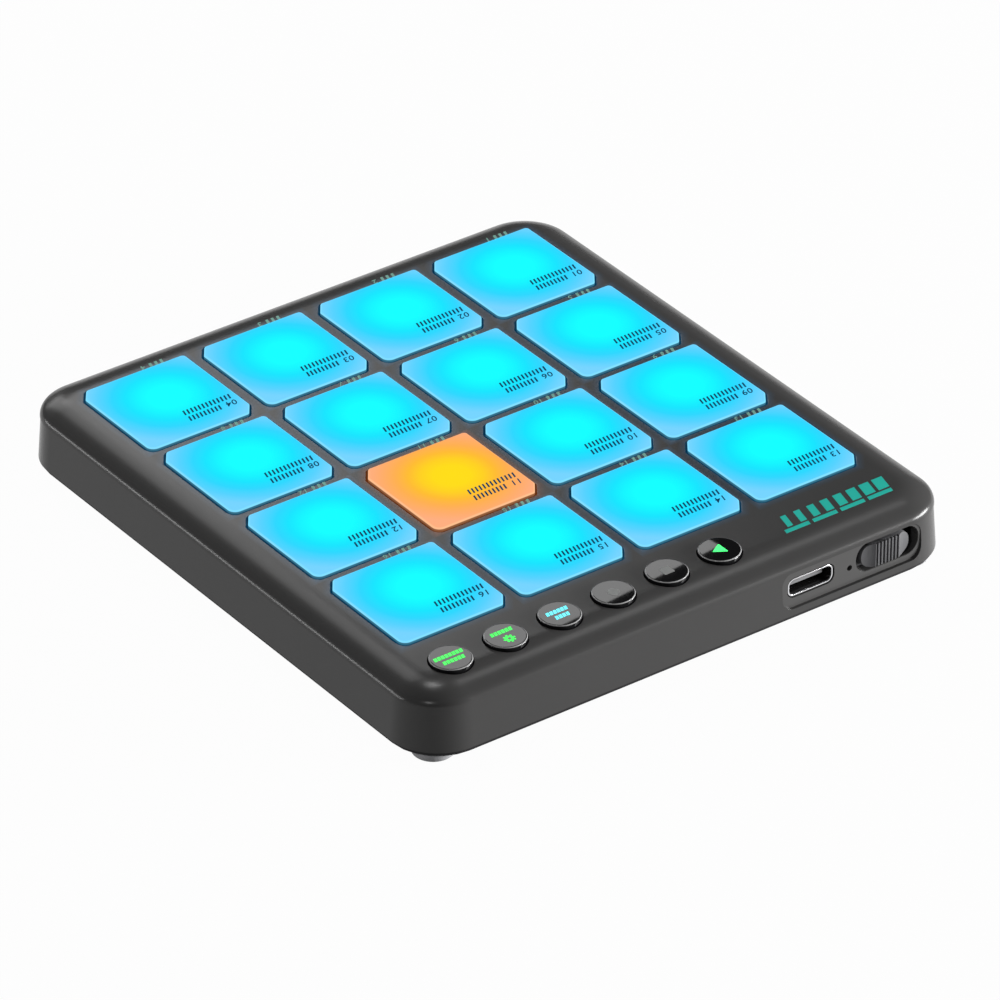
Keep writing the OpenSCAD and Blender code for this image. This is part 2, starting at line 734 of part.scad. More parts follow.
// Plan of the knob: low ends, hollow ramps and a raised crest with grooves
module knob_plan() {
    crest = crest_l / 2;
    foot = crest + ramp_l;
    difference() {
        union() {
            translate([-knob_l / 2, skirt_y]) square([knob_l, knob_low_y - skirt_y]);
            translate([-foot, skirt_y]) square([2 * foot, knob_crest_y - skirt_y]);
        }
        for (side = [-1, 1]) translate([side * foot, knob_low_y + ramp_r]) circle(ramp_r);
        for (i = [0:groove_count - 1])
            translate([(i - (groove_count - 1) / 2) * groove_pitch - groove_w / 2, knob_crest_y - groove_cut])
                square([groove_w, groove_cut + over]);
    }
}

module power_switch_knob() color([0.16, 0.16, 0.17]) translate([knob_x, 0, 0]) {
    mid_z = slot_mid[1];
    room = [lever_size[0] + 2 * lever_gap, lever_size[1] + 2 * lever_gap];
    difference() {
        union() {
            intersection() {
                translate([0, 0, mid_z - knob_h / 2]) linear_extrude(knob_h) knob_plan();
                towards_rear(skirt_y - over, rear_y + over)
                    translate([0, mid_z]) rounded_rect(knob_l, knob_h, knob_r);
            }
            translate([-knob_l / 2, skirt_y - skirt_t, mid_z - skirt_h / 2]) cube([knob_l, skirt_t, skirt_h]);
        }
        translate([-room[0] / 2, skirt_y - skirt_t - over, lever_z - room[1] / 2])
            cube([room[0], lever_out + lever_gap + over, room[1]]);
    }
}

module power_switch_lever() color([0.1, 0.1, 0.1])
    translate([knob_x - lever_size[0] / 2, board_rear_y - lever_in, lever_z - lever_size[1] / 2])
        cube([lever_size[0], skirt_y - skirt_t + lever_out - board_rear_y + lever_in, lever_size[1]]);

module power_switch_body() color([0.7, 0.7, 0.72]) difference() {
    run = lever_size[0] + knob_travel + 2 * lever_gap;
    deep = lever_in + lever_gap;
    translate([switch_x - switch_size[0] / 2, board_rear_y - switch_size[1], switch_z]) cube(switch_size);
    translate([switch_x - run / 2, board_rear_y - deep, lever_z - lever_size[1] / 2 - lever_gap])
        cube([run, deep + over, lever_size[1] + 2 * lever_gap]);
}

module charge_led() color([0.9, 0.9, 0.85])
    translate([light_mid[0] - light_led[0] / 2, board_rear_y - light_led[1], board_z - light_led[2]])
        cube(light_led);

// Battery

module battery() color([0.75, 0.76, 0.78]) translate([0, battery_y, battery_z]) {
    body_d = battery_d - battery_seal;
    translate([-battery_w / 2, -battery_d / 2, 0]) cube([battery_w, body_d, battery_t]);
    translate([-battery_w / 2, battery_d / 2 - battery_seal, battery_t / 4])
        cube([battery_w, battery_seal, battery_t / 2]);
}

module battery_tape() color([0.9, 0.9, 0.86]) translate([0, battery_y - battery_seal / 2, plate_z])
    linear_extrude(tape_t) square([battery_w - battery_seal, battery_d - 2 * battery_seal], center = true);

module battery_lead() color([0.75, 0.08, 0.06]) for (side = [-1, 1])
    translate([lead_x + side * lead_pitch / 2, lead_y, lead_z])
        rotate([-90, 0, 0]) cylinder(d = lead_d, h = lead_l);

module battery_plug() color([0.92, 0.92, 0.9])
    translate([lead_x - plug_size[0] / 2, plug_y, lead_z - plug_size[2] / 2]) cube(plug_size);

module battery_socket() color([0.85, 0.85, 0.82]) difference() {
    mouth_y = plug_y + plug_size[1] - plug_in;
    translate([lead_x - socket_size[0] / 2, mouth_y, board_z - socket_size[2]]) cube(socket_size);
    translate([lead_x - plug_size[0] / 2 - plug_gap, mouth_y - over, lead_z - plug_size[2] / 2 - plug_gap])
        cube([plug_size[0] + 2 * plug_gap, plug_in + plug_gap + over, plug_size[2] + 2 * plug_gap]);
}

// Feet and screws

module rubber_feet() color([0.55, 0.55, 0.56]) at_feet() rotate_extrude() {
    r = foot_d / 2;
    translate([r - foot_round, foot_round]) intersection() {
        circle(foot_round);
        translate([0, -foot_round]) square(foot_round);
    }
    square([r - foot_round, foot_h + foot_seat]);
    translate([0, foot_round]) square([r, foot_h + foot_seat - foot_round]);
}

module case_screws() color([0.5, 0.5, 0.52]) at_screws() {
    translate([0, 0, seat_z]) cylinder(d = screw_d, h = screw_l);
    translate([0, 0, seat_z - head_h]) difference() {
        cylinder(d = head_d, h = head_h);
        for (turn = [0, 90]) rotate(turn)
            translate([-head_d / 4, -head_d / 14, -over]) cube([head_d / 2, head_d / 7, head_h / 2 + over]);
    }
}

top_cover();
bottom_cover();
for (i = [1:grid_n * grid_n]) pad(i);
pad_mat();
sensor_film();
pad_leds();
main_board();
board_chips();
for (i = [0:len(buttons) - 1]) button(i);
for (i = [0:len(buttons) - 1]) stem(i);
tact_switches();
button_leds();
usb_shell();
usb_tongue();
power_switch_knob();
power_switch_lever();
power_switch_body();
charge_led();
battery();
battery_tape();
battery_socket();
battery_plug();
battery_lead();
rubber_feet();
case_screws();
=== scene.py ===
"""Looks of a desktop pad controller: satin case, sixteen lit pads, gloss buttons and a rear port."""

import json
import logging
import math
from dataclasses import dataclass, field, replace
from enum import Enum
from typing import Callable, Sequence

import bmesh
import bpy
from mathutils import Matrix, Quaternion, Vector


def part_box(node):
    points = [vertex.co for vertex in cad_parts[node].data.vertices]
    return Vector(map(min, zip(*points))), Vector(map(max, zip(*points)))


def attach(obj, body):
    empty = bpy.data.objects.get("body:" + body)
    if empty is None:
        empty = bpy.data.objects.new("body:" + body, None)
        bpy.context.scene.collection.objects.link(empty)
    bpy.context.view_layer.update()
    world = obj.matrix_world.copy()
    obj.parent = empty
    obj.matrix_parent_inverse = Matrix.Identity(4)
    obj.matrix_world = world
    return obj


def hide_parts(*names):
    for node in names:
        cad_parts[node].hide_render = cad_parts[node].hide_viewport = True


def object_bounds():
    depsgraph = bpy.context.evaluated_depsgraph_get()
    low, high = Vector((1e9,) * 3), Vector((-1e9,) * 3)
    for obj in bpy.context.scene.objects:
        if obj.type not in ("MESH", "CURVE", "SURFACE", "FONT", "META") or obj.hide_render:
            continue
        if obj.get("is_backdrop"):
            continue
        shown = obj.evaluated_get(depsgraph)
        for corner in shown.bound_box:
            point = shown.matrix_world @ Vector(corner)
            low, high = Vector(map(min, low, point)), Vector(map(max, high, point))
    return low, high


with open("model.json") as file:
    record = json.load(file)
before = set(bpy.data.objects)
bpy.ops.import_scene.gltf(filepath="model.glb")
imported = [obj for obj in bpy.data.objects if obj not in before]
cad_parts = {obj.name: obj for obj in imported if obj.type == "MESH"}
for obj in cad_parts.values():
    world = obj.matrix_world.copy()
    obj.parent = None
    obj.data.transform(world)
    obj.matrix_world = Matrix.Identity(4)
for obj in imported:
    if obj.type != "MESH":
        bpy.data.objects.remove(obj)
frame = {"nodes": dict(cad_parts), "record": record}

# Lengths are in millimetres, apart from those of the lamps and the floor, which are in metres
MM = 0.001
TOUCH = 0.01
MERGE = 0.001
CUT_PAST = 1.0
PADS_A_SIDE = 4
PRINT_HEIGHT = 0.02
PRINT_LEAN = 0.25
DIGIT_SHARE = 0.7
DIGIT_SPACING = 1.1
DIGIT_WEIGHT = 0.02
LOG = logging.getLogger("pad_controller")
Y_AXIS = (0.0, 1.0, 0.0)
Z_AXIS = (0.0, 0.0, 1.0)

Colour = tuple[float, float, float]
Point = tuple[float, float, float]
Spot = tuple[float, float]
Level = tuple[float, float]


def srgb(red: int, green: int, blue: int) -> Colour:
    """Turn a display colour of 0 to 255 into the linear colour that shaders take.

    Args:
        red: Red as displayed.
        green: Green as displayed.
        blue: Blue as displayed.

    Returns:
        The linear colour.
    """
    shares = (red / 255, green / 255, blue / 255)
    return tuple(s / 12.92 if s <= 0.04045 else ((s + 0.055) / 1.055) ** 2.4 for s in shares)


def opaque(colour: Colour) -> tuple[float, float, float, float]:
    """Give a colour the full alpha that a colour socket asks for."""
    return (*colour, 1.0)


def box_mm(node: str) -> tuple[Vector, Vector]:
    """Give the lowest and highest corner of a CAD node, in millimetres."""
    low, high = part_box(node)
    return low / MM, high / MM


class Signal:
    """An output socket that takes part in Python expressions."""

    def __init__(self, sheet: "Sheet", socket: bpy.types.NodeSocket) -> None:
        """Keep the socket and the sheet that it is on."""
        self.sheet = sheet
        self.socket = socket

    def _math(self, operation: str, first: "Signal | float", second: "Signal | float") -> "Signal":
        """Add a Math node for two operands."""
        return self.sheet.value("ShaderNodeMath", {"operation": operation}, {0: first, 1: second})

    def __add__(self, other: "Signal | float") -> "Signal":
        """Add two values."""
        return self._math("ADD", self, other)

    __radd__ = __add__

    def __sub__(self, other: "Signal | float") -> "Signal":
        """Take a value from this one."""
        return self._math("SUBTRACT", self, other)

    def __rsub__(self, other: "Signal | float") -> "Signal":
        """Take this value from another."""
        return self._math("SUBTRACT", other, self)

    def __mul__(self, other: "Signal | float") -> "Signal":
        """Multiply two values."""
        return self._math("MULTIPLY", self, other)

    __rmul__ = __mul__

    def __truediv__(self, other: "Signal | float") -> "Signal":
        """Divide this value by another."""
        return self._math("DIVIDE", self, other)

    def __pow__(self, other: "Signal | float") -> "Signal":
        """Raise this value to a power."""
        return self._math("POWER", self, other)

    def __abs__(self) -> "Signal":
        """Drop the sign."""
        return self.sheet.value("ShaderNodeMath", {"operation": "ABSOLUTE"}, {0: self})

    def __round__(self) -> "Signal":
        """Take the nearest whole number."""
        return self.sheet.value("ShaderNodeMath", {"operation": "ROUND"}, {0: self})

    def highest(self, other: "Signal | float") -> "Signal":
        """Take the larger of two values."""
        return self._math("MAXIMUM", self, other)

    def lowest(self, other: "Signal | float") -> "Signal":
        """Take the smaller of two values."""
        return self._math("MINIMUM", self, other)

    def equals(self, other: float) -> "Signal":
        """Give 1 where this whole number is the other one, and 0 elsewhere."""
        return self.sheet.value("ShaderNodeMath", {"operation": "COMPARE"}, {0: self, 1: other, 2: 0.5})

    def ramp(self, start: float, end: float) -> "Signal":
        """Rise from 0 at one value to 1 at another, and stay level outside them."""
        return self.sheet.value("ShaderNodeMapRange", {"clamp": True}, {
            "Value": self, "From Min": start, "From Max": end})


class Sheet:
    """The shader nodes of one material or of the world."""

    def __init__(self, owner: bpy.types.Material | bpy.types.World) -> None:
        """Start an empty sheet on its owner.

        Args:
            owner: The material or the world.
        """
        owner.use_nodes = True
        self.tree = owner.node_tree
        self.tree.nodes.clear()
        of_world = isinstance(owner, bpy.types.World)
        self.output = "ShaderNodeOutputWorld" if of_world else "ShaderNodeOutputMaterial"

    def node(self, kind: str, settings: dict | None = None, inputs: dict | None = None) -> bpy.types.Node:
        """Add a node, with its settings first and then its sockets.

        Args:
            kind: The node's type.
            settings: Properties by name, and a colour ramp's stops under "stops".
            inputs: Values or signals by socket name or number.

        Returns:
            The new node.
        """
        made = self.tree.nodes.new(kind)
        for name, setting in (settings or {}).items():
            if name == "stops":
                self._set_stops(made.color_ramp, setting)
            else:
                setattr(made, name, setting)
        for name, given in (inputs or {}).items():
            if isinstance(given, Signal):
                self.tree.links.new(given.socket, made.inputs[name])
            else:
                made.inputs[name].default_value = given
        return made

    def value(self, kind: str, settings: dict | None = None, inputs: dict | None = None,
              output: int | str = 0) -> Signal:
        """Add a node and take one of its outputs as a signal."""
        return Signal(self, self.node(kind, settings, inputs).outputs[output])

    def _set_stops(self, ramp: bpy.types.ColorRamp, stops: Sequence[tuple[float, Colour]]) -> None:
        """Fill a colour ramp with stops.

        Args:
            ramp: The ramp.
            stops: Place and colour of each stop, in rising order.
        """
        while len(ramp.elements) < len(stops):
            ramp.elements.new(1.0)
        for element, (place, colour) in zip(ramp.elements, stops):
            element.position = place
            element.color = opaque(colour)

    def mix(self, share: Signal, first: Signal | Colour, second: Colour) -> Signal:
        """Blend a colour or a colour signal towards a plain colour by a share."""
        start = first if isinstance(first, Signal) else opaque(first)
        return self.value("ShaderNodeMix", {"data_type": "RGBA"}, {
            "Factor": share, 6: start, 7: opaque(second)}, 2)

    def noise(self, size: float, detail: float = 2.0) -> Signal:
        """Add noise on object coordinates, with features of a size in millimetres."""
        place = self.value("ShaderNodeTexCoord", output="Object")
        return self.value("ShaderNodeTexNoise", None, {
            "Vector": place, "Scale": 1 / (size * MM), "Detail": detail})

    def bump(self, height: Signal, relief: float) -> Signal:
        """Turn a height into a normal, with a relief in millimetres."""
        return self.value("ShaderNodeBump", None, {
            "Strength": 1.0, "Distance": relief * MM, "Height": height})

    def dim(self, colour: Signal | Colour, share: Signal) -> Signal:
        """Multiply a colour or a colour signal by a share."""
        start = colour if isinstance(colour, Signal) else opaque(colour)
        return self.value("ShaderNodeMix", {"data_type": "RGBA", "blend_type": "MULTIPLY"}, {
            "Factor": 1.0, 6: start, 7: share}, 2)

    def place(self, axis: int) -> Signal:
        """Give the place along one of the object's axes, in millimetres."""
        spot = self.value("ShaderNodeTexCoord", output="Object")
        return self.value("ShaderNodeSeparateXYZ", None, {"Vector": spot}, axis) / MM

    def upward(self) -> Signal:
        """Tell how far the surface faces up: 1 on top, 0 on the sides."""
        facing = self.value("ShaderNodeNewGeometry", output="Normal")
        return self.value("ShaderNodeSeparateXYZ", None, {"Vector": facing}, "Z")

    def surface(self, shader: Signal) -> None:
        """Send a shader to the output."""
        self.node(self.output, None, {"Surface": shader})


def make_look(name: str, dress: Callable[[Sheet], Signal]) -> bpy.types.Material:
    """Give the material of a name, dressed on first use.

    Args:
        name: The material's name.
        dress: Draws the shader on the material's sheet.

    Returns:
        The material.
    """
    found = bpy.data.materials.get(name)
    if found:
        return found
    made = bpy.data.materials.new(name)
    sheet = Sheet(made)
    sheet.surface(dress(sheet))
    return made


@dataclass(frozen=True)
class PadLattice:
    """Where the pads stand: the first pad's middle and the pitch in millimetres, and their count each way."""

    first: Spot
    pitch: Spot
    count: int = PADS_A_SIDE

    def nearest(self, sheet: Sheet, axis: int) -> tuple[Signal, Signal]:
        """Find the nearest pad along one axis.

        Args:
            sheet: The shader's sheet.
            axis: 0 for X, 1 for Y.

        Returns:
            The pad's number along the axis, and the way from its middle in millimetres.
        """
        run = (sheet.place(axis) - self.first[axis]) / self.pitch[axis]
        number = round(run).highest(0.0).lowest(self.count - 1.0)
        return number, (run - number) * self.pitch[axis]


@dataclass(frozen=True)
class Spill:
    """Light that leaks from the gap round each pad onto the deck; one pad has a colour of its own.

    Attributes:
        lattice: Where the pads stand.
        half: Half a pad's width and depth.
        cut: Width and depth of a pad's cut corners.
        start: Way from the pad to where the light starts to fade.
        reach: Way from the pad to where the light ends.
        colour: Colour of the light.
        odd_colour: Colour of the light round the odd pad.
        odd_pad: Column and row of the odd pad.
        falloff: Power of the fade.
    """

    lattice: PadLattice
    half: Spot
    cut: Spot
    start: float
    reach: float
    colour: Colour
    odd_colour: Colour
    odd_pad: tuple[int, int]
    falloff: float = 0.5

    def light(self, sheet: Sheet) -> Signal:
        """Give the colour of the light at each place.

        Args:
            sheet: The shader's sheet.

        Returns:
            The colour, black away from the pads.
        """
        column, across = self.lattice.nearest(sheet, 0)
        row, along = self.lattice.nearest(sheet, 1)
        box = (abs(across) - self.half[0]).highest(abs(along) - self.half[1])
        wide, deep = self.cut
        corner = (self.half[0] - wide) * deep + self.half[1] * wide
        away = box.highest((abs(across * deep - along * wide) - corner) / math.hypot(wide, deep))
        odd = column.equals(self.odd_pad[0]) * row.equals(self.odd_pad[1])
        fade = 1 - away.ramp(self.start, self.reach) ** self.falloff
        return sheet.dim(sheet.mix(odd, self.colour, self.odd_colour), fade)


@dataclass(frozen=True)
class Finish:
    """A moulded, metal or printed surface with fine grain and uneven gloss.

    Attributes:
        name: Name of the material.
        colour: Base colour.
        roughness: Middle roughness.
        specular: Specular level.
        metallic: How metallic it is.
        grain: Size of the grain.
        relief: Height of the grain.
        cloud: Size of the mottled patches.
        mottle: How much the colour varies between patches.
        unevenness: How much the roughness varies over the grain.
        glow: Strength of its own light.
        edge: Colour of bevels between a top and a side, a painted highlight.
        upright: Paler colour painted on faces that stand upright, as painted light that lightens the pocket's
            floor.
        inner: Place in Y below which a painted shade colour starts, and that colour.
        spill: Light from the pads that falls on it.
        edge_top: How far up a face looks where the bevel's colour starts and is full, on the top's side.
        edge_side: The same on the side's side.
        upright_within: How far up or down an upright face may look.
        inner_fade: Length over which the painted shade comes in.
        cloud_detail: Detail of the mottled patches.
    """

    name: str
    colour: Colour
    roughness: float
    specular: float = 0.5
    metallic: float = 0.0
    grain: float = 0.3
    relief: float = 0.002
    cloud: float = 9.0
    mottle: float = 0.08
    unevenness: float = 0.05
    glow: float = 0.0
    edge: Colour | None = None
    upright: Colour | None = None
    inner: tuple[float, Colour] | None = None
    spill: Spill | None = None
    edge_top: Level = (0.995, 0.9)
    edge_side: Level = (0.25, 0.4)
    upright_within: float = 0.03
    inner_fade: float = 0.1
    cloud_detail: float = 3.0

    def material(self) -> bpy.types.Material:
        """Give the material of this finish."""
        return make_look(self.name, self._shader)

    def _shader(self, sheet: Sheet) -> Signal:
        """Draw the shader.

        Args:
            sheet: The material's sheet.

        Returns:
            The shader.
        """
        grain = sheet.noise(self.grain)
        tint = self._tint(sheet)
        metallic = self.metallic
        # Painted shade: further in than a place along Y, the colour turns dark and less metallic.
        if self.inner:
            depth, colour = self.inner
            behind = sheet.place(1).ramp(depth + self.inner_fade, depth)
            tint = sheet.mix(behind, tint, colour)
            metallic = (1 - behind) * metallic
        inputs = {
            "Base Color": tint,
            "Roughness": self.roughness - self.unevenness / 2 + grain * self.unevenness,
            "Metallic": metallic,
            "Specular IOR Level": self.specular,
            "Normal": sheet.bump(grain, self.relief),
        }
        if self.glow:
            inputs["Emission Color"] = tint
            inputs["Emission Strength"] = self.glow
        if self.spill:
            inputs["Emission Color"] = self.spill.light(sheet)
            inputs["Emission Strength"] = 1.0
        return sheet.value("ShaderNodeBsdfPrincipled", None, inputs)

    def _tint(self, sheet: Sheet) -> Signal:
        """Mottle the colour, and paint lighter colours on bevels and upright faces as painted light.

        Args:
            sheet: The material's sheet.

        Returns:
            The colour at each place.
        """
        shade = 1 - self.mottle / 2 + sheet.noise(self.cloud, self.cloud_detail) * self.mottle
        tint = sheet.dim(self.colour, shade)
        # Painted highlight: the bevel between a top and a side gets a paler colour.
        if self.edge:
            upward = sheet.upward()
            bevel = upward.ramp(*self.edge_top) * upward.ramp(*self.edge_side)
            tint = sheet.mix(bevel, tint, self.edge)
        # Painted light: faces that stand upright, such as the pocket's floor, get a paler colour.
        if self.upright:
            tint = sheet.mix(abs(sheet.upward()).ramp(self.upright_within, 0.0), tint, self.upright)
        return tint


@dataclass(frozen=True)
class LitSilicone:
    """Milky silicone with a lamp below it: brightest over the lamp, with a painted highlight of paler, bluer
    light on the rim and painted shade of darker light on the sides.

    Attributes:
        name: Name of the material.
        body: Base colour under the light.
        stops: Way from the lamp and colour of the light there.
        rim: Colour of the rounded rim, a painted highlight.
        side: Colour of the sides and of what lies below the rim, a dim glow darkened as painted shade of the gap
            round the pad.
        lattice: Where the pads stand.
        lamp_shift: Place of the lamp from the pad's middle.
        lit_above: Height above which the silicone is lit.
        reach: Way from the lamp to where the stops end.
        ripple: Size and depth of the unevenness in the light.
        grain: Size of the grain.
        relief: Height of the grain.
        roughness: Least roughness.
        unevenness: How much the roughness varies over the grain.
        specular: Specular level.
        rim_from: How far up a face looks where the rim's colour starts and is full.
        side_from: The same for the sides' colour.
        lit_fade: Height over which the light ends.
    """

    name: str
    body: Colour
    stops: tuple[tuple[float, Colour], ...]
    rim: Colour
    side: Colour
    lattice: PadLattice
    lamp_shift: Spot
    lit_above: float
    reach: float = 14.0
    ripple: Spot = (1.6, 0.012)
    grain: float = 0.25
    relief: float = 0.002
    roughness: float = 0.56
    unevenness: float = 0.08
    specular: float = 0.02
    rim_from: Level = (0.99, 0.9)
    side_from: Level = (0.3, 0.05)
    lit_fade: float = 0.1

    def material(self) -> bpy.types.Material:
        """Give the material of this finish."""
        return make_look(self.name, self._shader)

    def _shader(self, sheet: Sheet) -> Signal:
        """Draw the shader.

        Args:
            sheet: The material's sheet.

        Returns:
            The shader.
        """
        grain = sheet.noise(self.grain)
        return sheet.value("ShaderNodeBsdfPrincipled", None, {
            "Base Color": opaque(self.body),
            "Roughness": self.roughness + grain * self.unevenness,
            "Specular IOR Level": self.specular,
            "Emission Color": self._light(sheet),
            "Emission Strength": 1.0,
            "Normal": sheet.bump(grain, self.relief),
        })

    def _light(self, sheet: Sheet) -> Signal:
        """Spread the lamp's light over the pad.

        Args:
            sheet: The material's sheet.

        Returns:
            The colour of the light at each place.
        """
        across, along = (self.lattice.nearest(sheet, axis)[1] - self.lamp_shift[axis] for axis in (0, 1))
        size, depth = self.ripple
        ripple = (sheet.noise(size) - 0.5) * depth
        radius = (across * across + along * along) ** 0.5 / self.reach + ripple
        light = sheet.value("ShaderNodeValToRGB", {
            "stops": [(place / self.reach, colour) for place, colour in self.stops]}, {"Fac": radius})
        upward = sheet.upward()
        # Painted highlight: paler light on the rounded rim.
        light = sheet.mix(upward.ramp(*self.rim_from), light, self.rim)
        # Painted shade: darker light on the sides and below the rim, for the gap round the pad.
        low = sheet.place(2).ramp(self.lit_above, self.lit_above - self.lit_fade)
        return sheet.mix(upward.ramp(*self.side_from).highest(low), light, self.side)


@dataclass(frozen=True)
class Outline:
    """A flat convex outline, listed anticlockwise, with rounded corners; it can grow by an even amount."""

    corners: tuple[Spot, ...]
    radii: tuple[float, ...]
    steps: int = 6

    def points(self, grow: float) -> list[Vector]:
        """Give the outline's points after it has grown.

        Args:
            grow: How far each side moves outwards, in millimetres.

        Returns:
            The points in order.
        """
        flat = bmesh.new()
        verts = [flat.verts.new((*place, 0.0)) for place in self._grown(grow)]
        flat.faces.new(verts)
        for vert, radius, turn in zip(verts, self.radii, self._turns()):
            if radius + grow > TOUCH:
                bmesh.ops.bevel(flat, geom=[vert], offset=(radius + grow) * math.tan(turn / 2),
                                offset_type="OFFSET", segments=self.steps, profile=0.5,
                                affect="VERTICES", clamp_overlap=False, material=-1)
        flat.faces.ensure_lookup_table()
        found = [vert.co.copy() for vert in flat.faces[0].verts]
        flat.free()
        return found

    def _normals(self) -> list[Vector]:
        """Find which way the sides face.

        Returns:
            The outward direction of the side that starts at each corner.
        """
        after = self.corners[1:] + self.corners[:1]
        sides = [(Vector(end) - Vector(start)).normalized() for start, end in zip(self.corners, after)]
        return [Vector((side.y, -side.x)) for side in sides]

    def _turns(self) -> list[float]:
        """Give the angle by which the outline turns at each corner."""
        normals = self._normals()
        return [before.angle(after) for before, after in zip(normals[-1:] + normals[:-1], normals)]

    def _grown(self, grow: float) -> list[Spot]:
        """Move each corner so that both of its sides move outwards evenly.

        Args:
            grow: How far each side moves.

        Returns:
            The moved corners.
        """
        normals = self._normals()
        pairs = zip(self.corners, normals[-1:] + normals[:-1], normals)
        return [tuple(Vector(place) + (a + b) * (grow / (1 + a.dot(b)))) for place, a, b in pairs]


@dataclass(frozen=True)
class Disc:
    """A circular outline that can grow by an even amount."""

    radius: float
    steps: int = 48

    def points(self, grow: float) -> list[Vector]:
        """Give the circle's points after it has grown.

        Args:
            grow: How far the circle moves outwards.

        Returns:
            The points in order.
        """
        flat = bmesh.new()
        made = bmesh.ops.create_circle(flat, segments=self.steps, radius=self.radius + grow)
        found = [vert.co.copy() for vert in made["verts"]]
        flat.free()
        return found


def rounded_rect(width: float, depth: float, radius: float) -> Outline:
    """Give a rectangle with four equal round corners, about the origin."""
    x, y = width / 2, depth / 2
    return Outline(((-x, -y), (x, -y), (x, y), (-x, y)), (radius,) * 4)


def quarter_angles(steps: int) -> list[float]:
    """Divide a right angle into even steps."""
    return [math.pi / 2 * step / steps for step in range(steps + 1)]


def quarter_round(radius: float, top: float, edge: float, steps: int) -> list[Level]:
    """Give the levels of a rounded upper edge, from the top face down to the side.

    Args:
        radius: Radius of the rounding.
        top: Height of the top face.
        edge: Growth of the outline at the side.
        steps: Number of steps of the rounding.

    Returns:
        Pairs of growth and height.
    """
    return [(edge - radius + radius * math.sin(angle), top - radius + radius * math.cos(angle))
            for angle in quarter_angles(steps)]


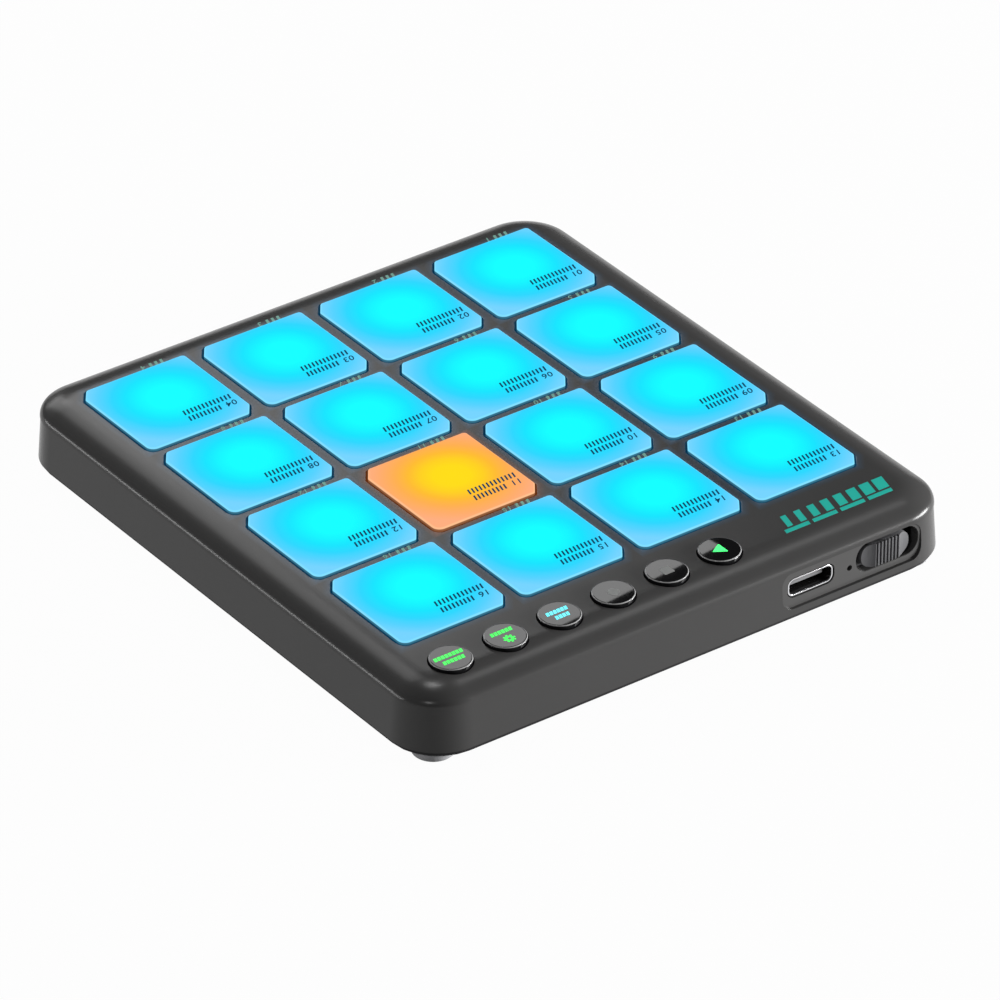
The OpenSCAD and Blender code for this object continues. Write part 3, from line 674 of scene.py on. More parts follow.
class Work:
    """A mesh on the bench, in millimetres, shaped by mesh operators."""

    def __init__(self) -> None:
        """Start an empty mesh."""
        self.bm = bmesh.new()

    def start(self, place: Point) -> bmesh.types.BMVert:
        """Put down the first vertex of a line."""
        return self.bm.verts.new(place)

    def line(self, vert: bmesh.types.BMVert, *places: Point) -> bmesh.types.BMVert:
        """Draw straight edges on from a vertex.

        Args:
            vert: The vertex to go on from.
            places: Where the edges lead.

        Returns:
            The last vertex.
        """
        for place in places:
            vert = bmesh.ops.extrude_vert_indiv(self.bm, verts=[vert])["verts"][0]
            vert.co = place
        return vert

    def arc(self, vert: bmesh.types.BMVert, centre: Point, axis: Point, angle: float,
            steps: int) -> bmesh.types.BMVert:
        """Draw an arc on from a vertex and give the last one."""
        made = self._spin([vert], centre, axis, (0.0, 0.0, 0.0), angle, steps)
        return next(item for item in made if isinstance(item, bmesh.types.BMVert))

    def _spin(self, geom: list, centre: Point, axis: Point, shift: Point, angle: float, steps: int) -> list:
        """Sweep geometry round an axis or along a shift and give its last copy."""
        made = bmesh.ops.spin(self.bm, geom=geom, cent=centre, axis=axis, dvec=shift, angle=angle,
                              steps=steps, use_merge=False, use_normal_flip=False, use_duplicate=False)
        return made["geom_last"]

    def carry_round(self, half: Spot, steps: int, ease: float = 0.4) -> None:
        """Carry the section drawn in X and Z round a rectangle, whose corners are on the section's axis.

        Args:
            half: Half the rectangle's width and depth.
            steps: Number of steps of each corner.
            ease: Length of the short strips that keep the flat sides flat beside the corners.
        """
        x, y = half
        geom = self.bm.verts[:] + self.bm.edges[:]
        bmesh.ops.translate(self.bm, verts=self.bm.verts[:], vec=(x, -y, 0.0))
        corners = ((x, y), (-x, y), (-x, -y), (x, -y))
        for number, corner in enumerate(corners):
            along = Vector((math.cos((number + 1) * math.pi / 2), math.sin((number + 1) * math.pi / 2), 0.0))
            run = 2 * (y if number % 2 == 0 else x)
            for part in (ease, run - 2 * ease, ease):
                geom = self._spin(geom, (0.0, 0.0, 0.0), Z_AXIS, along * part, 0.0, 1)
            geom = self._spin(geom, (*corner, 0.0), Z_AXIS, (0.0, 0.0, 0.0), math.pi / 2, steps)
        self.merge()

    def turn(self, steps: int) -> None:
        """Turn the section drawn in X and Z once round the Z axis."""
        bmesh.ops.spin(self.bm, geom=self.bm.verts[:] + self.bm.edges[:], cent=(0.0, 0.0, 0.0), axis=Z_AXIS,
                       dvec=(0.0, 0.0, 0.0), angle=2 * math.pi, steps=steps, use_merge=True,
                       use_normal_flip=False, use_duplicate=False)
        self.merge()

    def merge(self) -> None:
        """Join vertices that lie on each other."""
        bmesh.ops.remove_doubles(self.bm, verts=self.bm.verts[:], dist=MERGE)

    def ring(self, outline: Outline | Disc, level: Level, at: Spot = (0.0, 0.0)) -> list[bmesh.types.BMEdge]:
        """Draw an outline as a closed ring of edges.

        Args:
            outline: The outline.
            level: Its growth and its height.
            at: Its place in X and Y.

        Returns:
            The edges in order.
        """
        grow, height = level
        verts = [self.bm.verts.new((p.x + at[0], p.y + at[1], height)) for p in outline.points(grow)]
        return [self.bm.edges.new(pair) for pair in zip(verts, verts[1:] + verts[:1])]

    def stack(self, outline: Outline | Disc, levels: Sequence[Level],
              at: Spot = (0.0, 0.0)) -> tuple[list, list]:
        """Join rings of one outline, each at its own growth and height.

        Args:
            outline: The outline.
            levels: Growth and height of each ring in order.
            at: Place of the outline in X and Y.

        Returns:
            The first and the last ring.
        """
        rings = [self.ring(outline, level, at) for level in levels]
        for lower, upper in zip(rings, rings[1:]):
            bmesh.ops.bridge_loops(self.bm, edges=lower + upper)
        return rings[0], rings[-1]

    def solid(self, outline: Outline | Disc, levels: Sequence[Level], at: Spot = (0.0, 0.0)) -> None:
        """Make a closed solid from rings of one outline, with a flat face at both ends."""
        for loop in self.stack(outline, levels, at):
            bmesh.ops.contextual_create(self.bm, geom=loop)

    def tube(self, outline: Outline, levels: Sequence[Level]) -> None:
        """Make a closed wall from rings of one outline, the last joined to the first."""
        first, last = self.stack(outline, levels)
        bmesh.ops.bridge_loops(self.bm, edges=last + first)

    def block(self, low: Point, high: Point) -> None:
        """Add a rectangular block.

        Args:
            low: Its lowest corner.
            high: Its highest corner.
        """
        middle = (Vector(low) + Vector(high)) / 2
        size = Matrix.Diagonal((*(Vector(high) - Vector(low)), 1.0))
        bmesh.ops.create_cube(self.bm, size=1.0, matrix=Matrix.Translation(middle) @ size)

    def bars(self, start: Point, widths: Sequence[float], pitch: float, depth: float) -> None:
        """Print a row of leaning bars.

        Args:
            start: Front left corner of the first bar, at the height of the printed face.
            widths: Width of each bar.
            pitch: Step from one bar's left side to the next one's.
            depth: Depth of the row.
        """
        x, y, z = start
        row = bmesh.new()
        for number, width in enumerate(widths):
            middle = Matrix.Translation((x + number * pitch + width / 2, y + depth / 2, z + PRINT_HEIGHT / 2))
            size = Matrix.Diagonal((width, depth, PRINT_HEIGHT, 1.0))
            bmesh.ops.create_cube(row, size=1.0, matrix=middle @ size)
        lean = Matrix.Identity(4)
        lean[0][1], lean[0][3] = PRINT_LEAN, -PRINT_LEAN * y
        mesh = bpy.data.meshes.new("bars")
        row.to_mesh(mesh)
        row.free()
        self.add(mesh, lean)

    def fill(self, *loops: list) -> None:
        """Fill the flat space inside the first loop, with the others as holes."""
        edges = [edge for loop in loops for edge in loop]
        bmesh.ops.triangle_fill(self.bm, use_beauty=True, use_dissolve=False, edges=edges)

    def rim_at(self, height: float) -> list[bmesh.types.BMEdge]:
        """Find the open edges that lie at a height."""
        return [edge for edge in self.bm.edges
                if edge.is_boundary and all(abs(vert.co.z - height) < MERGE for vert in edge.verts)]

    def soften(self, width: float, steps: int, sharper_than: float, low: Point, high: Point) -> None:
        """Round the sharp edges inside a box.

        Args:
            width: Width of the rounding.
            steps: Number of steps.
            sharper_than: Least angle of an edge that counts as sharp, in degrees.
            low: Lowest corner of the box.
            high: Highest corner of the box.
        """
        limit = math.radians(sharper_than)
        edges = [edge for edge in self.bm.edges
                 if edge.is_manifold and edge.calc_face_angle(0.0) > limit
                 and all(low[k] <= vert.co[k] <= high[k] for vert in edge.verts for k in range(3))]
        bmesh.ops.bevel(self.bm, geom=edges, offset=width, offset_type="OFFSET", segments=steps, profile=0.5,
                        affect="EDGES", clamp_overlap=True, material=-1)

    def stand_up(self) -> None:
        """Turn a drawing in X and Y up into X and Z, so that a height h comes to lie at Y = -h."""
        turn = Matrix.Rotation(math.pi / 2, 3, "X")
        bmesh.ops.rotate(self.bm, verts=self.bm.verts[:], cent=(0.0, 0.0, 0.0), matrix=turn)

    def shift(self, by: Point) -> None:
        """Move the whole mesh."""
        bmesh.ops.translate(self.bm, verts=self.bm.verts[:], vec=by)

    def add(self, mesh: bpy.types.Mesh, place: Matrix) -> None:
        """Take in a finished mesh, and drop the original.

        Args:
            mesh: The mesh.
            place: Where it goes.
        """
        mesh.transform(place)
        self.bm.from_mesh(mesh)
        bpy.data.meshes.remove(mesh)

    def bench_object(self, name: str) -> bpy.types.Object:
        """Put the mesh on an object that is still in millimetres.

        Args:
            name: Name of the object and its mesh.

        Returns:
            The object.
        """
        self.merge()
        bmesh.ops.recalc_face_normals(self.bm, faces=self.bm.faces[:])
        mesh = bpy.data.meshes.new(name)
        self.bm.to_mesh(mesh)
        self.bm.free()
        made = bpy.data.objects.new(name, mesh)
        bpy.context.scene.collection.objects.link(made)
        return made

    def piece(self, name: str, look: bpy.types.Material, smooth: float = 32.0) -> bpy.types.Object:
        """Finish the mesh as a piece of the object, in metres and in place.

        Args:
            name: Name of the piece.
            look: Its material.
            smooth: Angle up to which edges are shaded smooth, in degrees.

        Returns:
            The piece.
        """
        made = self.bench_object(name)
        made.data.transform(Matrix.Scale(MM, 4))
        made.data.shade_smooth()
        made.data.set_sharp_from_angle(angle=math.radians(smooth))
        made.data.materials.append(look)
        LOG.info("%s: %d faces", name, len(made.data.polygons))
        return made


class Cut(Enum):
    """What a cutter does to a solid."""

    AWAY = "DIFFERENCE"
    TO_COMMON = "INTERSECT"


def cut(work: Work, cutters: Sequence[Work], how: Cut) -> Work:
    """Cut one solid by others and put the result back on the bench.

    Args:
        work: The solid.
        cutters: The solids that cut it.
        how: Whether they are taken away, or only what is common stays.

    Returns:
        The cut solid.
    """
    body = work.bench_object("cut_body")
    tools = [cutter.bench_object("cutter") for cutter in cutters]
    for tool in tools:
        modifier = body.modifiers.new("cut", "BOOLEAN")
        modifier.operation = how.value
        modifier.solver = "EXACT"
        modifier.object = tool
    graph = bpy.context.evaluated_depsgraph_get()
    mesh = bpy.data.meshes.new_from_object(body.evaluated_get(graph))
    result = Work()
    result.add(mesh, Matrix.Identity(4))
    for spent in [body, *tools]:
        data = spent.data
        bpy.data.objects.remove(spent)
        bpy.data.meshes.remove(data)
    return result


def fit(piece: bpy.types.Object, body: str, slot: str, *nodes: str) -> bpy.types.Object:
    """Let a piece ride on a body and hide the CAD nodes that it stands for.

    Args:
        piece: The piece.
        body: The body that carries it.
        slot: Name of a material slot; not used.
        nodes: The nodes that it stands for.

    Returns:
        The piece.
    """
    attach(piece, body)
    if nodes:
        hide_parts(*nodes)
    return piece


# The case's paler colour on upright faces is painted light on the pocket's floor.
CASE = Finish("satin_case", (0.0455, 0.0449, 0.0446), 0.24, specular=0.17, grain=0.22, relief=0.0006,
              upright=(0.064, 0.0633, 0.0628))
BASE = Finish("matte_base", (0.018, 0.018, 0.0185), 0.55, specular=0.1, grain=0.3, relief=0.004)
# The cap's grey bevel colour is a painted highlight, a bright ring round the gloss top.
CAP = Finish("gloss_black_cap", (0.006, 0.006, 0.0065), 0.012, specular=0.17, relief=0.00002,
             unevenness=0.004, edge=(0.3, 0.3, 0.3))
KNOB = Finish("knob_plastic", (0.016, 0.016, 0.0159), 0.36, specular=0.15, grain=0.2, relief=0.001)
TONGUE = Finish("tongue_resin", (0.16, 0.16, 0.165), 0.45, grain=0.2)
STEEL = Finish("plated_steel", (0.72, 0.72, 0.74), 0.18, metallic=1.0, grain=0.15, relief=0.0006, mottle=0.05)
GOLD = Finish("gold_contact", (0.83, 0.6, 0.25), 0.25, metallic=1.0, grain=0.1)
FOOT = Finish("foot_rubber", (0.42, 0.42, 0.425), 0.7, specular=0.3, grain=0.35, relief=0.006)
SCREW = Finish("screw_steel", (0.35, 0.35, 0.36), 0.35, metallic=1.0, grain=0.12)
INK = Finish("pad_ink", srgb(2, 56, 84), 0.6, specular=0.05, glow=0.35)
# The deck prints' glow is painted light: no lamp lies under the deck.
TEAL = Finish("teal_print", srgb(30, 160, 146), 0.5, specular=0.1, glow=0.25)
DIM_TEAL = Finish("dim_teal_print", srgb(108, 150, 138), 0.5, specular=0.1, glow=0.4)
GREEN_MARK = Finish("lit_green", srgb(70, 246, 120), 0.4, specular=0.2, glow=0.9)
LEAF_MARK = Finish("lit_leaf_green", srgb(64, 226, 88), 0.4, specular=0.2, glow=0.85)
CYAN_MARK = Finish("lit_cyan", srgb(98, 226, 238), 0.4, specular=0.2, glow=0.85)
GREY_MARK = Finish("unlit_grey", srgb(132, 134, 133), 0.3, specular=0.2)
INSIDE = {
    "mat_silicone": Finish("mat_silicone", (0.62, 0.64, 0.65), 0.6),
    "film": Finish("sensor_film", (0.45, 0.3, 0.08), 0.35),
    "led_resin": Finish("led_resin", (0.8, 0.8, 0.72), 0.3),
    "board": Finish("solder_mask", (0.01, 0.09, 0.045), 0.35),
    "chip": Finish("chip_resin", (0.02, 0.02, 0.021), 0.55),
    "switch_plastic": Finish("switch_plastic", (0.05, 0.05, 0.05), 0.5),
    "stem_plastic": Finish("stem_plastic", (0.5, 0.46, 0.38), 0.45),
    "switch_steel": Finish("switch_steel", (0.55, 0.55, 0.57), 0.3, metallic=1.0),
    "battery_foil": Finish("battery_foil", (0.6, 0.61, 0.63), 0.35, metallic=0.9),
    "tape": Finish("foam_tape", (0.75, 0.74, 0.68), 0.8),
    "connector": Finish("connector_resin", (0.78, 0.77, 0.72), 0.45),
    "lead_jacket": Finish("lead_jacket", (0.5, 0.02, 0.015), 0.45),
    "screw_steel": SCREW,
    "knob_plastic": KNOB,
}


@dataclass
class PadShape:
    """Outline of a pad: two cut corners and two round ones."""

    width: float = 20.6
    depth: float = 21.1
    cut_width: float = 1.65
    cut_depth: float = 2.3
    cut_round: float = 0.6
    rear_round: float = 1.4
    front_round: float = 0.7
    gap: float = 0.3

    def outline(self) -> Outline:
        """Draw the outline.

        Returns:
            The outline about the pad's middle.
        """
        x, y = self.width / 2, self.depth / 2
        corners = ((-x, -y), (x - self.cut_width, -y), (x, self.cut_depth - y), (x, y),
                   (self.cut_width - x, y), (-x, y - self.cut_depth))
        soft = self.cut_round
        return Outline(corners, (self.front_round, soft, soft, self.rear_round, soft, soft))


def pad_names() -> list[str]:
    """Give the names of the pads, from front left to rear right."""
    return [f"pad_{number:02d}" for number in range(1, PADS_A_SIDE ** 2 + 1)]


def middle_of(node: str, axes: str = "xy") -> Spot:
    """Give the middle of a CAD node along two axes, in millimetres."""
    low, high = box_mm(node)
    return tuple((getattr(low, axis) + getattr(high, axis)) / 2 for axis in axes)


def pad_lattice() -> PadLattice:
    """Give the lattice of the pads from the places of three of them."""
    first, beside, behind = (middle_of(pad_names()[number]) for number in (0, 1, PADS_A_SIDE))
    return PadLattice(first, (beside[0] - first[0], behind[1] - first[1]))


class Mark(Enum):
    """What is printed on a button."""

    PLAY = "play"
    STOP = "stop"
    RECORD = "record"
    BANK = "bank"
    SETTINGS = "settings"
    REPEAT = "repeat"

    @property
    def button(self) -> str:
        """Give the name of the button's node and body."""
        return f"{self.value}_button"


MARK_ROWS = {
    Mark.BANK: ((6, -0.8), (4, 0.7)),
    Mark.SETTINGS: ((6, -1.15),),
    Mark.REPEAT: ((8, -0.7), (6, 0.8)),
}

MARK_FINISHES = {
    Mark.PLAY: GREEN_MARK,
    Mark.STOP: GREY_MARK,
    Mark.RECORD: GREY_MARK,
    Mark.BANK: CYAN_MARK,
    Mark.SETTINGS: LEAF_MARK,
    Mark.REPEAT: LEAF_MARK,
}


@dataclass
class TopCover:
    """The moulded upper shell: flat deck, pillow edge, leaning wall and the rear pocket."""

    corner: float = 9.0
    lean_run: float = 0.56
    wall: float = 1.9
    deck: float = 1.6
    edge_width: float = 6.2
    edge_height: float = 3.1
    edge_tight: float = 1.85
    deck_strip: float = 0.24
    overhang: float = 0.12
    rim: float = 0.12
    support: float = 0.06
    spill_reach: float = 1.7
    button_gap: float = 0.2
    button_rim: float = 0.08
    smooth: float = 12.0
    pocket_length: float = 27.8
    pocket_height: float = 6.5
    pocket_round: float = 2.2
    pocket_cut: float = 0.13
    pocket_side: float = 7.4
    slot_side: float = 14.1
    slot_size: Spot = (12.4, 5.2)
    slot_round: float = 2.4
    port_gap: float = 0.2
    port_round: float = 1.4
    pinhole: float = 0.5
    pinhole_drop: float = 1.15
    slot_rim: float = 0.16
    slot_margin: float = 0.1
    rim_steps: int = 3
    rim_angle: float = 50.0
    edge_steps: int = 10
    corner_steps: int = 16
    spill_colour: Colour = srgb(8, 48, 72)
    odd_spill_colour: Colour = srgb(84, 40, 10)
    odd_pad: tuple[int, int] = (2, 2)
    hole_steps: int = 64
    pinhole_steps: int = 24
    low: Vector = field(init=False)
    high: Vector = field(init=False)
    crease: float = field(init=False)
    under: float = field(init=False)
    pocket_floor: float = field(init=False)
    inside: float = field(init=False)
    hole_radius: float = field(init=False)

    def __post_init__(self) -> None:
        """Take the case's size from its CAD node and work out what follows from it."""
        self.low, self.high = box_mm("top_cover")
        self.crease = self.high.z - self.edge_height
        self.under = self.high.z - self.deck
        self.pocket_floor = self.high.y - self.lean_run - self.pocket_cut
        self.inside = self.high.y - self.lean_run - self.wall - CUT_PAST
        self.hole_radius = ButtonRow().radius + self.button_gap

    def build(self) -> bpy.types.Object:
        """Model the shell and fit it.

        Returns:
            The shell.
        """
        shell = self._skin()
        self._windows(shell)
        rear = [self._pocket(), self._port(), self._slot(), self._pinhole()]
        shell = cut(shell, rear + self._button_holes(), Cut.AWAY)
        self._soften(shell)
        look = replace(CASE, spill=self._spill()).material()
        return fit(shell.piece("top_shell", look, self.smooth), "case", "case_plastic", "top_cover")

    def _spill(self) -> Spill:
        """Give the light that leaks round the pads."""
        shape = PadShape()
        return Spill(pad_lattice(), (shape.width / 2, shape.depth / 2), (shape.cut_width, shape.cut_depth),
                     shape.gap, self.spill_reach, self.spill_colour, self.odd_spill_colour, self.odd_pad)

    def _skin(self) -> Work:
        """Carry the edge's section round the case.

        Returns:
            The skin, with the deck and the ceiling still open.
        """
        out = self.corner - self.lean_run + self.overhang
        across = self.edge_width - self.edge_tight
        long = (across ** 2 + self.edge_height ** 2 - self.edge_tight ** 2) / (
            2 * (self.edge_height - self.edge_tight))
        bend = math.atan2(across, long - self.edge_height)
        flat = out - self.edge_width
        hollow = self.corner - self.lean_run - self.wall
        work = Work()
        vert = work.start((flat - self.deck_strip, 0.0, self.high.z))
        vert = work.line(vert, (flat, 0.0, self.high.z))
        vert = work.arc(vert, (flat, 0.0, self.high.z - long), Y_AXIS, bend, self.edge_steps)
        vert = work.arc(vert, (out - self.edge_tight, 0.0, self.crease), Y_AXIS, math.pi / 2 - bend,
                        self.edge_steps)
        work.line(vert, (self.corner - self.lean_run, 0.0, self.crease), (self.corner, 0.0, self.low.z),
                  (hollow, 0.0, self.low.z), (hollow, 0.0, self.under),
                  (hollow - self.support, 0.0, self.under))
        work.carry_round((self.high.x - self.corner, self.high.y - self.corner), self.corner_steps)
        return work

    def _windows(self, work: Work) -> None:
        """Open the deck for the pads, with rounded rims, and fill what is left.

        Args:
            work: The skin.
        """
        shape = PadShape()
        levels = self._rim_levels(shape.gap)
        deck_loops = [work.rim_at(self.high.z)]
        ceiling_loops = [work.rim_at(self.under)]
        for name in pad_names():
            first, last = work.stack(shape.outline(), levels, middle_of(name))
            deck_loops.append(first)
            ceiling_loops.append(last)
        work.fill(*deck_loops)
        work.fill(*ceiling_loops)

    def _button_holes(self) -> list[Work]:
        """Make the cutters of the button holes, which run into the pillow edge.

        Returns:
            One cutter for each button.
        """
        cutters = []
        for mark in Mark:
            cutter = Work()
            levels = [(0.0, self.under - CUT_PAST), (0.0, self.high.z + CUT_PAST)]
            cutter.solid(Disc(self.hole_radius, self.hole_steps), levels, middle_of(mark.button))
            cutters.append(cutter)
        return cutters

    def _rim_levels(self, edge: float) -> list[Level]:
        """Give the levels of an opening's rounded rim and its wall.

        Args:
            edge: Growth of the pad's outline at the wall.

        Returns:
            Pairs of growth and height, from the deck down.
        """
        top = self.high.z
        rim = [(edge + self.rim * (1 - math.sin(angle)), top - self.rim * (1 - math.cos(angle)))
               for angle in quarter_angles(self.rim_steps)]
        return [(edge + self.rim + self.support, top), *rim, (edge, self.under)]

    def _rear_cutter(self, outline: Outline | Disc, middle: Spot, start: float) -> Work:
        """Make a cutter that runs out through the rear wall.

        Args:
            outline: Outline of the opening.
            middle: Its middle in X and Z.
            start: Place in Y where the cutter starts.

        Returns:
            The cutter.
        """
        work = Work()
        work.solid(outline, [(0.0, -self.high.y - CUT_PAST), (0.0, -start)], middle)
        work.stand_up()
        return work

    def _pocket(self) -> Work:
        """Make the cutter of the shallow pocket.

        Returns:
            The cutter.
        """
        x = self.low.x + self.pocket_side + self.pocket_length / 2
        outline = rounded_rect(self.pocket_length, self.pocket_height, self.pocket_round)
        return self._rear_cutter(outline, (x, self.crease - self.pocket_height / 2), self.pocket_floor)

    def _port(self) -> Work:
        """Make the cutter of the USB-C opening.

        Returns:
            The cutter.
        """
        low, high = box_mm("usb_shell")
        room = 2 * self.port_gap
        outline = rounded_rect(high.x - low.x + room, high.z - low.z + room, self.port_round)
        return self._rear_cutter(outline, middle_of("usb_shell", "xz"), self.inside)

    def _slot(self) -> Work:
        """Make the cutter of the switch's window."""
        place = (self.low.x + self.slot_side, middle_of("power_switch_knob", "xz")[1])
        return self._rear_cutter(rounded_rect(*self.slot_size, self.slot_round), place, self.inside)

    def _pinhole(self) -> Work:
        """Make the cutter of the charge light's pinhole."""
        place = (middle_of("charge_led")[0], box_mm("charge_led")[1].z - self.pinhole_drop)
        return self._rear_cutter(Disc(self.pinhole, self.pinhole_steps), place, self.inside)

    def _soften(self, work: Work) -> None:
        """Round the rims of the switch's window and of the button holes.

        Args:
            work: The cut shell.
        """
        x = self.low.x + self.slot_side
        reach = self.slot_size[0] / 2 + self.slot_margin
        work.soften(self.slot_rim, self.rim_steps, self.rim_angle,
                    (x - reach, self.pocket_floor - TOUCH, self.low.z),
                    (x + reach, self.pocket_floor + TOUCH, self.crease))
        reach = self.hole_radius + TOUCH
        for mark in Mark:
            x, y = middle_of(mark.button)
            work.soften(self.button_rim, self.rim_steps, self.rim_angle,
                        (x - reach, y - reach, self.high.z - CUT_PAST),
                        (x + reach, y + reach, self.high.z + CUT_PAST))


@dataclass
class BottomCover:
    """The lower shell: a plate with a chamfered rim and three screw wells."""

    inset: float = 0.4
    chamfer: float = 0.3
    rim_height: float = 0.8
    corner: float = 9.0
    inner_inset: float = 2.66
    plate_rise: float = 1.0
    well: float = 2.1
    well_depth: float = 1.4
    well_edge: float = 0.12
    well_steps: int = 32
    end_zone: float = 3.0

    def build(self) -> bpy.types.Object:
        """Model the plate and fit it.

        Returns:
            The plate.
        """
        under = box_mm("bottom_cover")[0].z
        case_low, case_high = box_mm("top_cover")
        rim_top = under + self.rim_height
        outline = rounded_rect(case_high.x - case_low.x, case_high.y - case_low.y, self.corner)
        edge = -self.inset
        work = Work()
        first, last = work.stack(outline, [
            (edge - self.chamfer, under), (edge, under + self.chamfer), (edge, rim_top),
            (-self.inner_inset, rim_top), (-self.inner_inset, rim_top + self.plate_rise)])
        levels = [(self.well_edge, under), (0.0, under + self.well_edge), (0.0, under + self.well_depth)]
        mouth = Disc(self.well, self.well_steps)
        wells = [work.stack(mouth, levels, place) for place in self._screw_places()]
        work.fill(first, *[top for top, _ in wells])
        work.fill(last)
        for _, floor in wells:
            work.fill(floor)
        return fit(work.piece("bottom_plate", BASE.material()), "case", "base_plastic", "bottom_cover")

    def _screw_places(self) -> list[Spot]:
        """Find the screws' places from their node, which is a row of three.

        Returns:
            The places from left to right.
        """
        low, high = box_mm("case_screws")
        y = middle_of("case_screws")[1]
        radius = (high.y - low.y) / 2
        xs = [vert.co.x / MM for vert in frame["nodes"]["case_screws"].data.vertices]
        ends = self.end_zone * radius
        inner = [x for x in xs if low.x + ends < x < high.x - ends]
        return [(low.x + radius, y), ((min(inner) + max(inner)) / 2, y), (high.x - radius, y)]


@dataclass
class PadGrid:
    """Sixteen silicone pads with a flange and a hollow foot, and their printed marks."""

    bevel: float = 0.3
    bevel_steps: int = 4
    support: float = 0.06
    flange_out: float = 0.65
    flange: float = 0.6
    foot_in: float = 1.0
    foot_wall: float = 2.0
    skin: float = 1.3
    deck_drop: float = 2.2
    lamp_shift: Spot = (-0.9, -1.1)
    lit_in_orange: str = "pad_11"
    mark_left: float = -9.2
    mark_rows: Spot = (3.85, 5.8)
    mark_height: float = 1.35
    mark_indent: float = 3.1
    mark_bar: Spot = (0.32, 0.72)
    mark_bars: tuple[int, int] = (13, 9)

    def finishes(self) -> tuple[LitSilicone, LitSilicone]:
        """Mix the silicones and tie them to the places of the pads.

        Returns:
            The cyan and the orange finish.
        """
        lattice = pad_lattice()
        lit_above = box_mm("pad_01")[1].z - 2 * self.bevel
        cyan = ((0.0, srgb(16, 255, 255)), (3.0, srgb(16, 254, 255)), (5.0, srgb(16, 243, 255)),
                (7.0, srgb(20, 226, 255)), (9.0, srgb(44, 213, 255)), (11.2, srgb(86, 208, 255)),
                (13.2, srgb(118, 210, 255)))
        orange = ((0.0, srgb(255, 221, 20)), (3.0, srgb(255, 219, 22)), (5.0, srgb(255, 207, 32)),
                  (7.0, srgb(255, 186, 50)), (9.0, srgb(255, 174, 80)), (11.2, srgb(255, 171, 108)),
                  (13.2, srgb(255, 173, 128)))
        # The rim colours are painted highlights, and the side colours painted shade of the gap round each pad.
        return (LitSilicone("lit_cyan_silicone", (0.0, 0.02, 0.03), cyan, srgb(130, 222, 255),
                            srgb(0, 50, 78), lattice, self.lamp_shift, lit_above),
                LitSilicone("lit_orange_silicone", (0.03, 0.012, 0.0), orange, srgb(255, 190, 142),
                            srgb(96, 44, 12), lattice, self.lamp_shift, lit_above))

    def build(self) -> None:
        """Model every pad and its print, and fit them."""
        cyan, orange = self.finishes()
        for number, name in enumerate(pad_names(), start=1):
            lit = orange if name == self.lit_in_orange else cyan
            slot = "pad_orange" if name == self.lit_in_orange else "pad_cyan"
            pad = self._pad(name).piece(f"{name}_silicone", lit.material())
            fit(pad, name, slot, name)
            mark = self._mark(name, number).piece(f"{name}_mark", INK.material())
            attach(mark, name)

    def _pad(self, name: str) -> Work:
        """Model one pad in its place.

        Args:
            name: The pad's node.

        Returns:
            The pad.
        """
        low, high = box_mm(name)
        top = high.z
        flange_top = top - self.deck_drop
        inside = -self.foot_in - self.foot_wall
        work = Work()
        levels = [(-self.bevel - self.support, top),
                  *quarter_round(self.bevel, top, 0.0, self.bevel_steps), (0.0, flange_top),
                  (self.flange_out, flange_top), (self.flange_out, flange_top - self.flange),
                  (-self.foot_in, flange_top - self.flange), (-self.foot_in, low.z), (inside, low.z),
                  (inside, top - self.skin)]
        work.solid(PadShape().outline(), levels, middle_of(name))
        return work

    def _mark(self, name: str, number: int) -> Work:
        """Print the pad's number and two rows of step marks in its rear left corner.

        Args:
            name: The pad's node.
            number: The pad's number.

        Returns:
            The print.
        """
        x, y = middle_of(name)
        left, top = x + self.mark_left, box_mm(name)[1].z
        front, rear = (y + row for row in self.mark_rows)
        bar, pitch = self.mark_bar
        front_bars, rear_bars = self.mark_bars
        work = Work()
        work.add(number_mesh(f"{number:02d}", self.mark_height), Matrix.Translation((left, rear, top)))
        work.bars((left + self.mark_indent, rear, top), [bar] * rear_bars, pitch, self.mark_height)
        work.bars((left, front, top), [bar] * front_bars, pitch, self.mark_height)
        return work


def number_mesh(text: str, height: float) -> bpy.types.Mesh:
    """Make slanted, slightly raised digits with their lower left corner at the origin, in millimetres.

    Args:
        text: The digits.
        height: Height of a digit.

    Returns:
        A mesh that belongs to no object.
    """
    curve = bpy.data.curves.new("digits", "FONT")
    curve.body = text
    curve.size = height / DIGIT_SHARE
    curve.shear = PRINT_LEAN
    curve.space_character = DIGIT_SPACING
    curve.offset = DIGIT_WEIGHT
    curve.extrude = PRINT_HEIGHT / 2
    holder = bpy.data.objects.new("digits", curve)
    mesh = bpy.data.meshes.new_from_object(holder)
    bpy.data.objects.remove(holder)
    bpy.data.curves.remove(curve)
    mesh.transform(Matrix.Translation((0.0, 0.0, PRINT_HEIGHT / 2)))
    return mesh


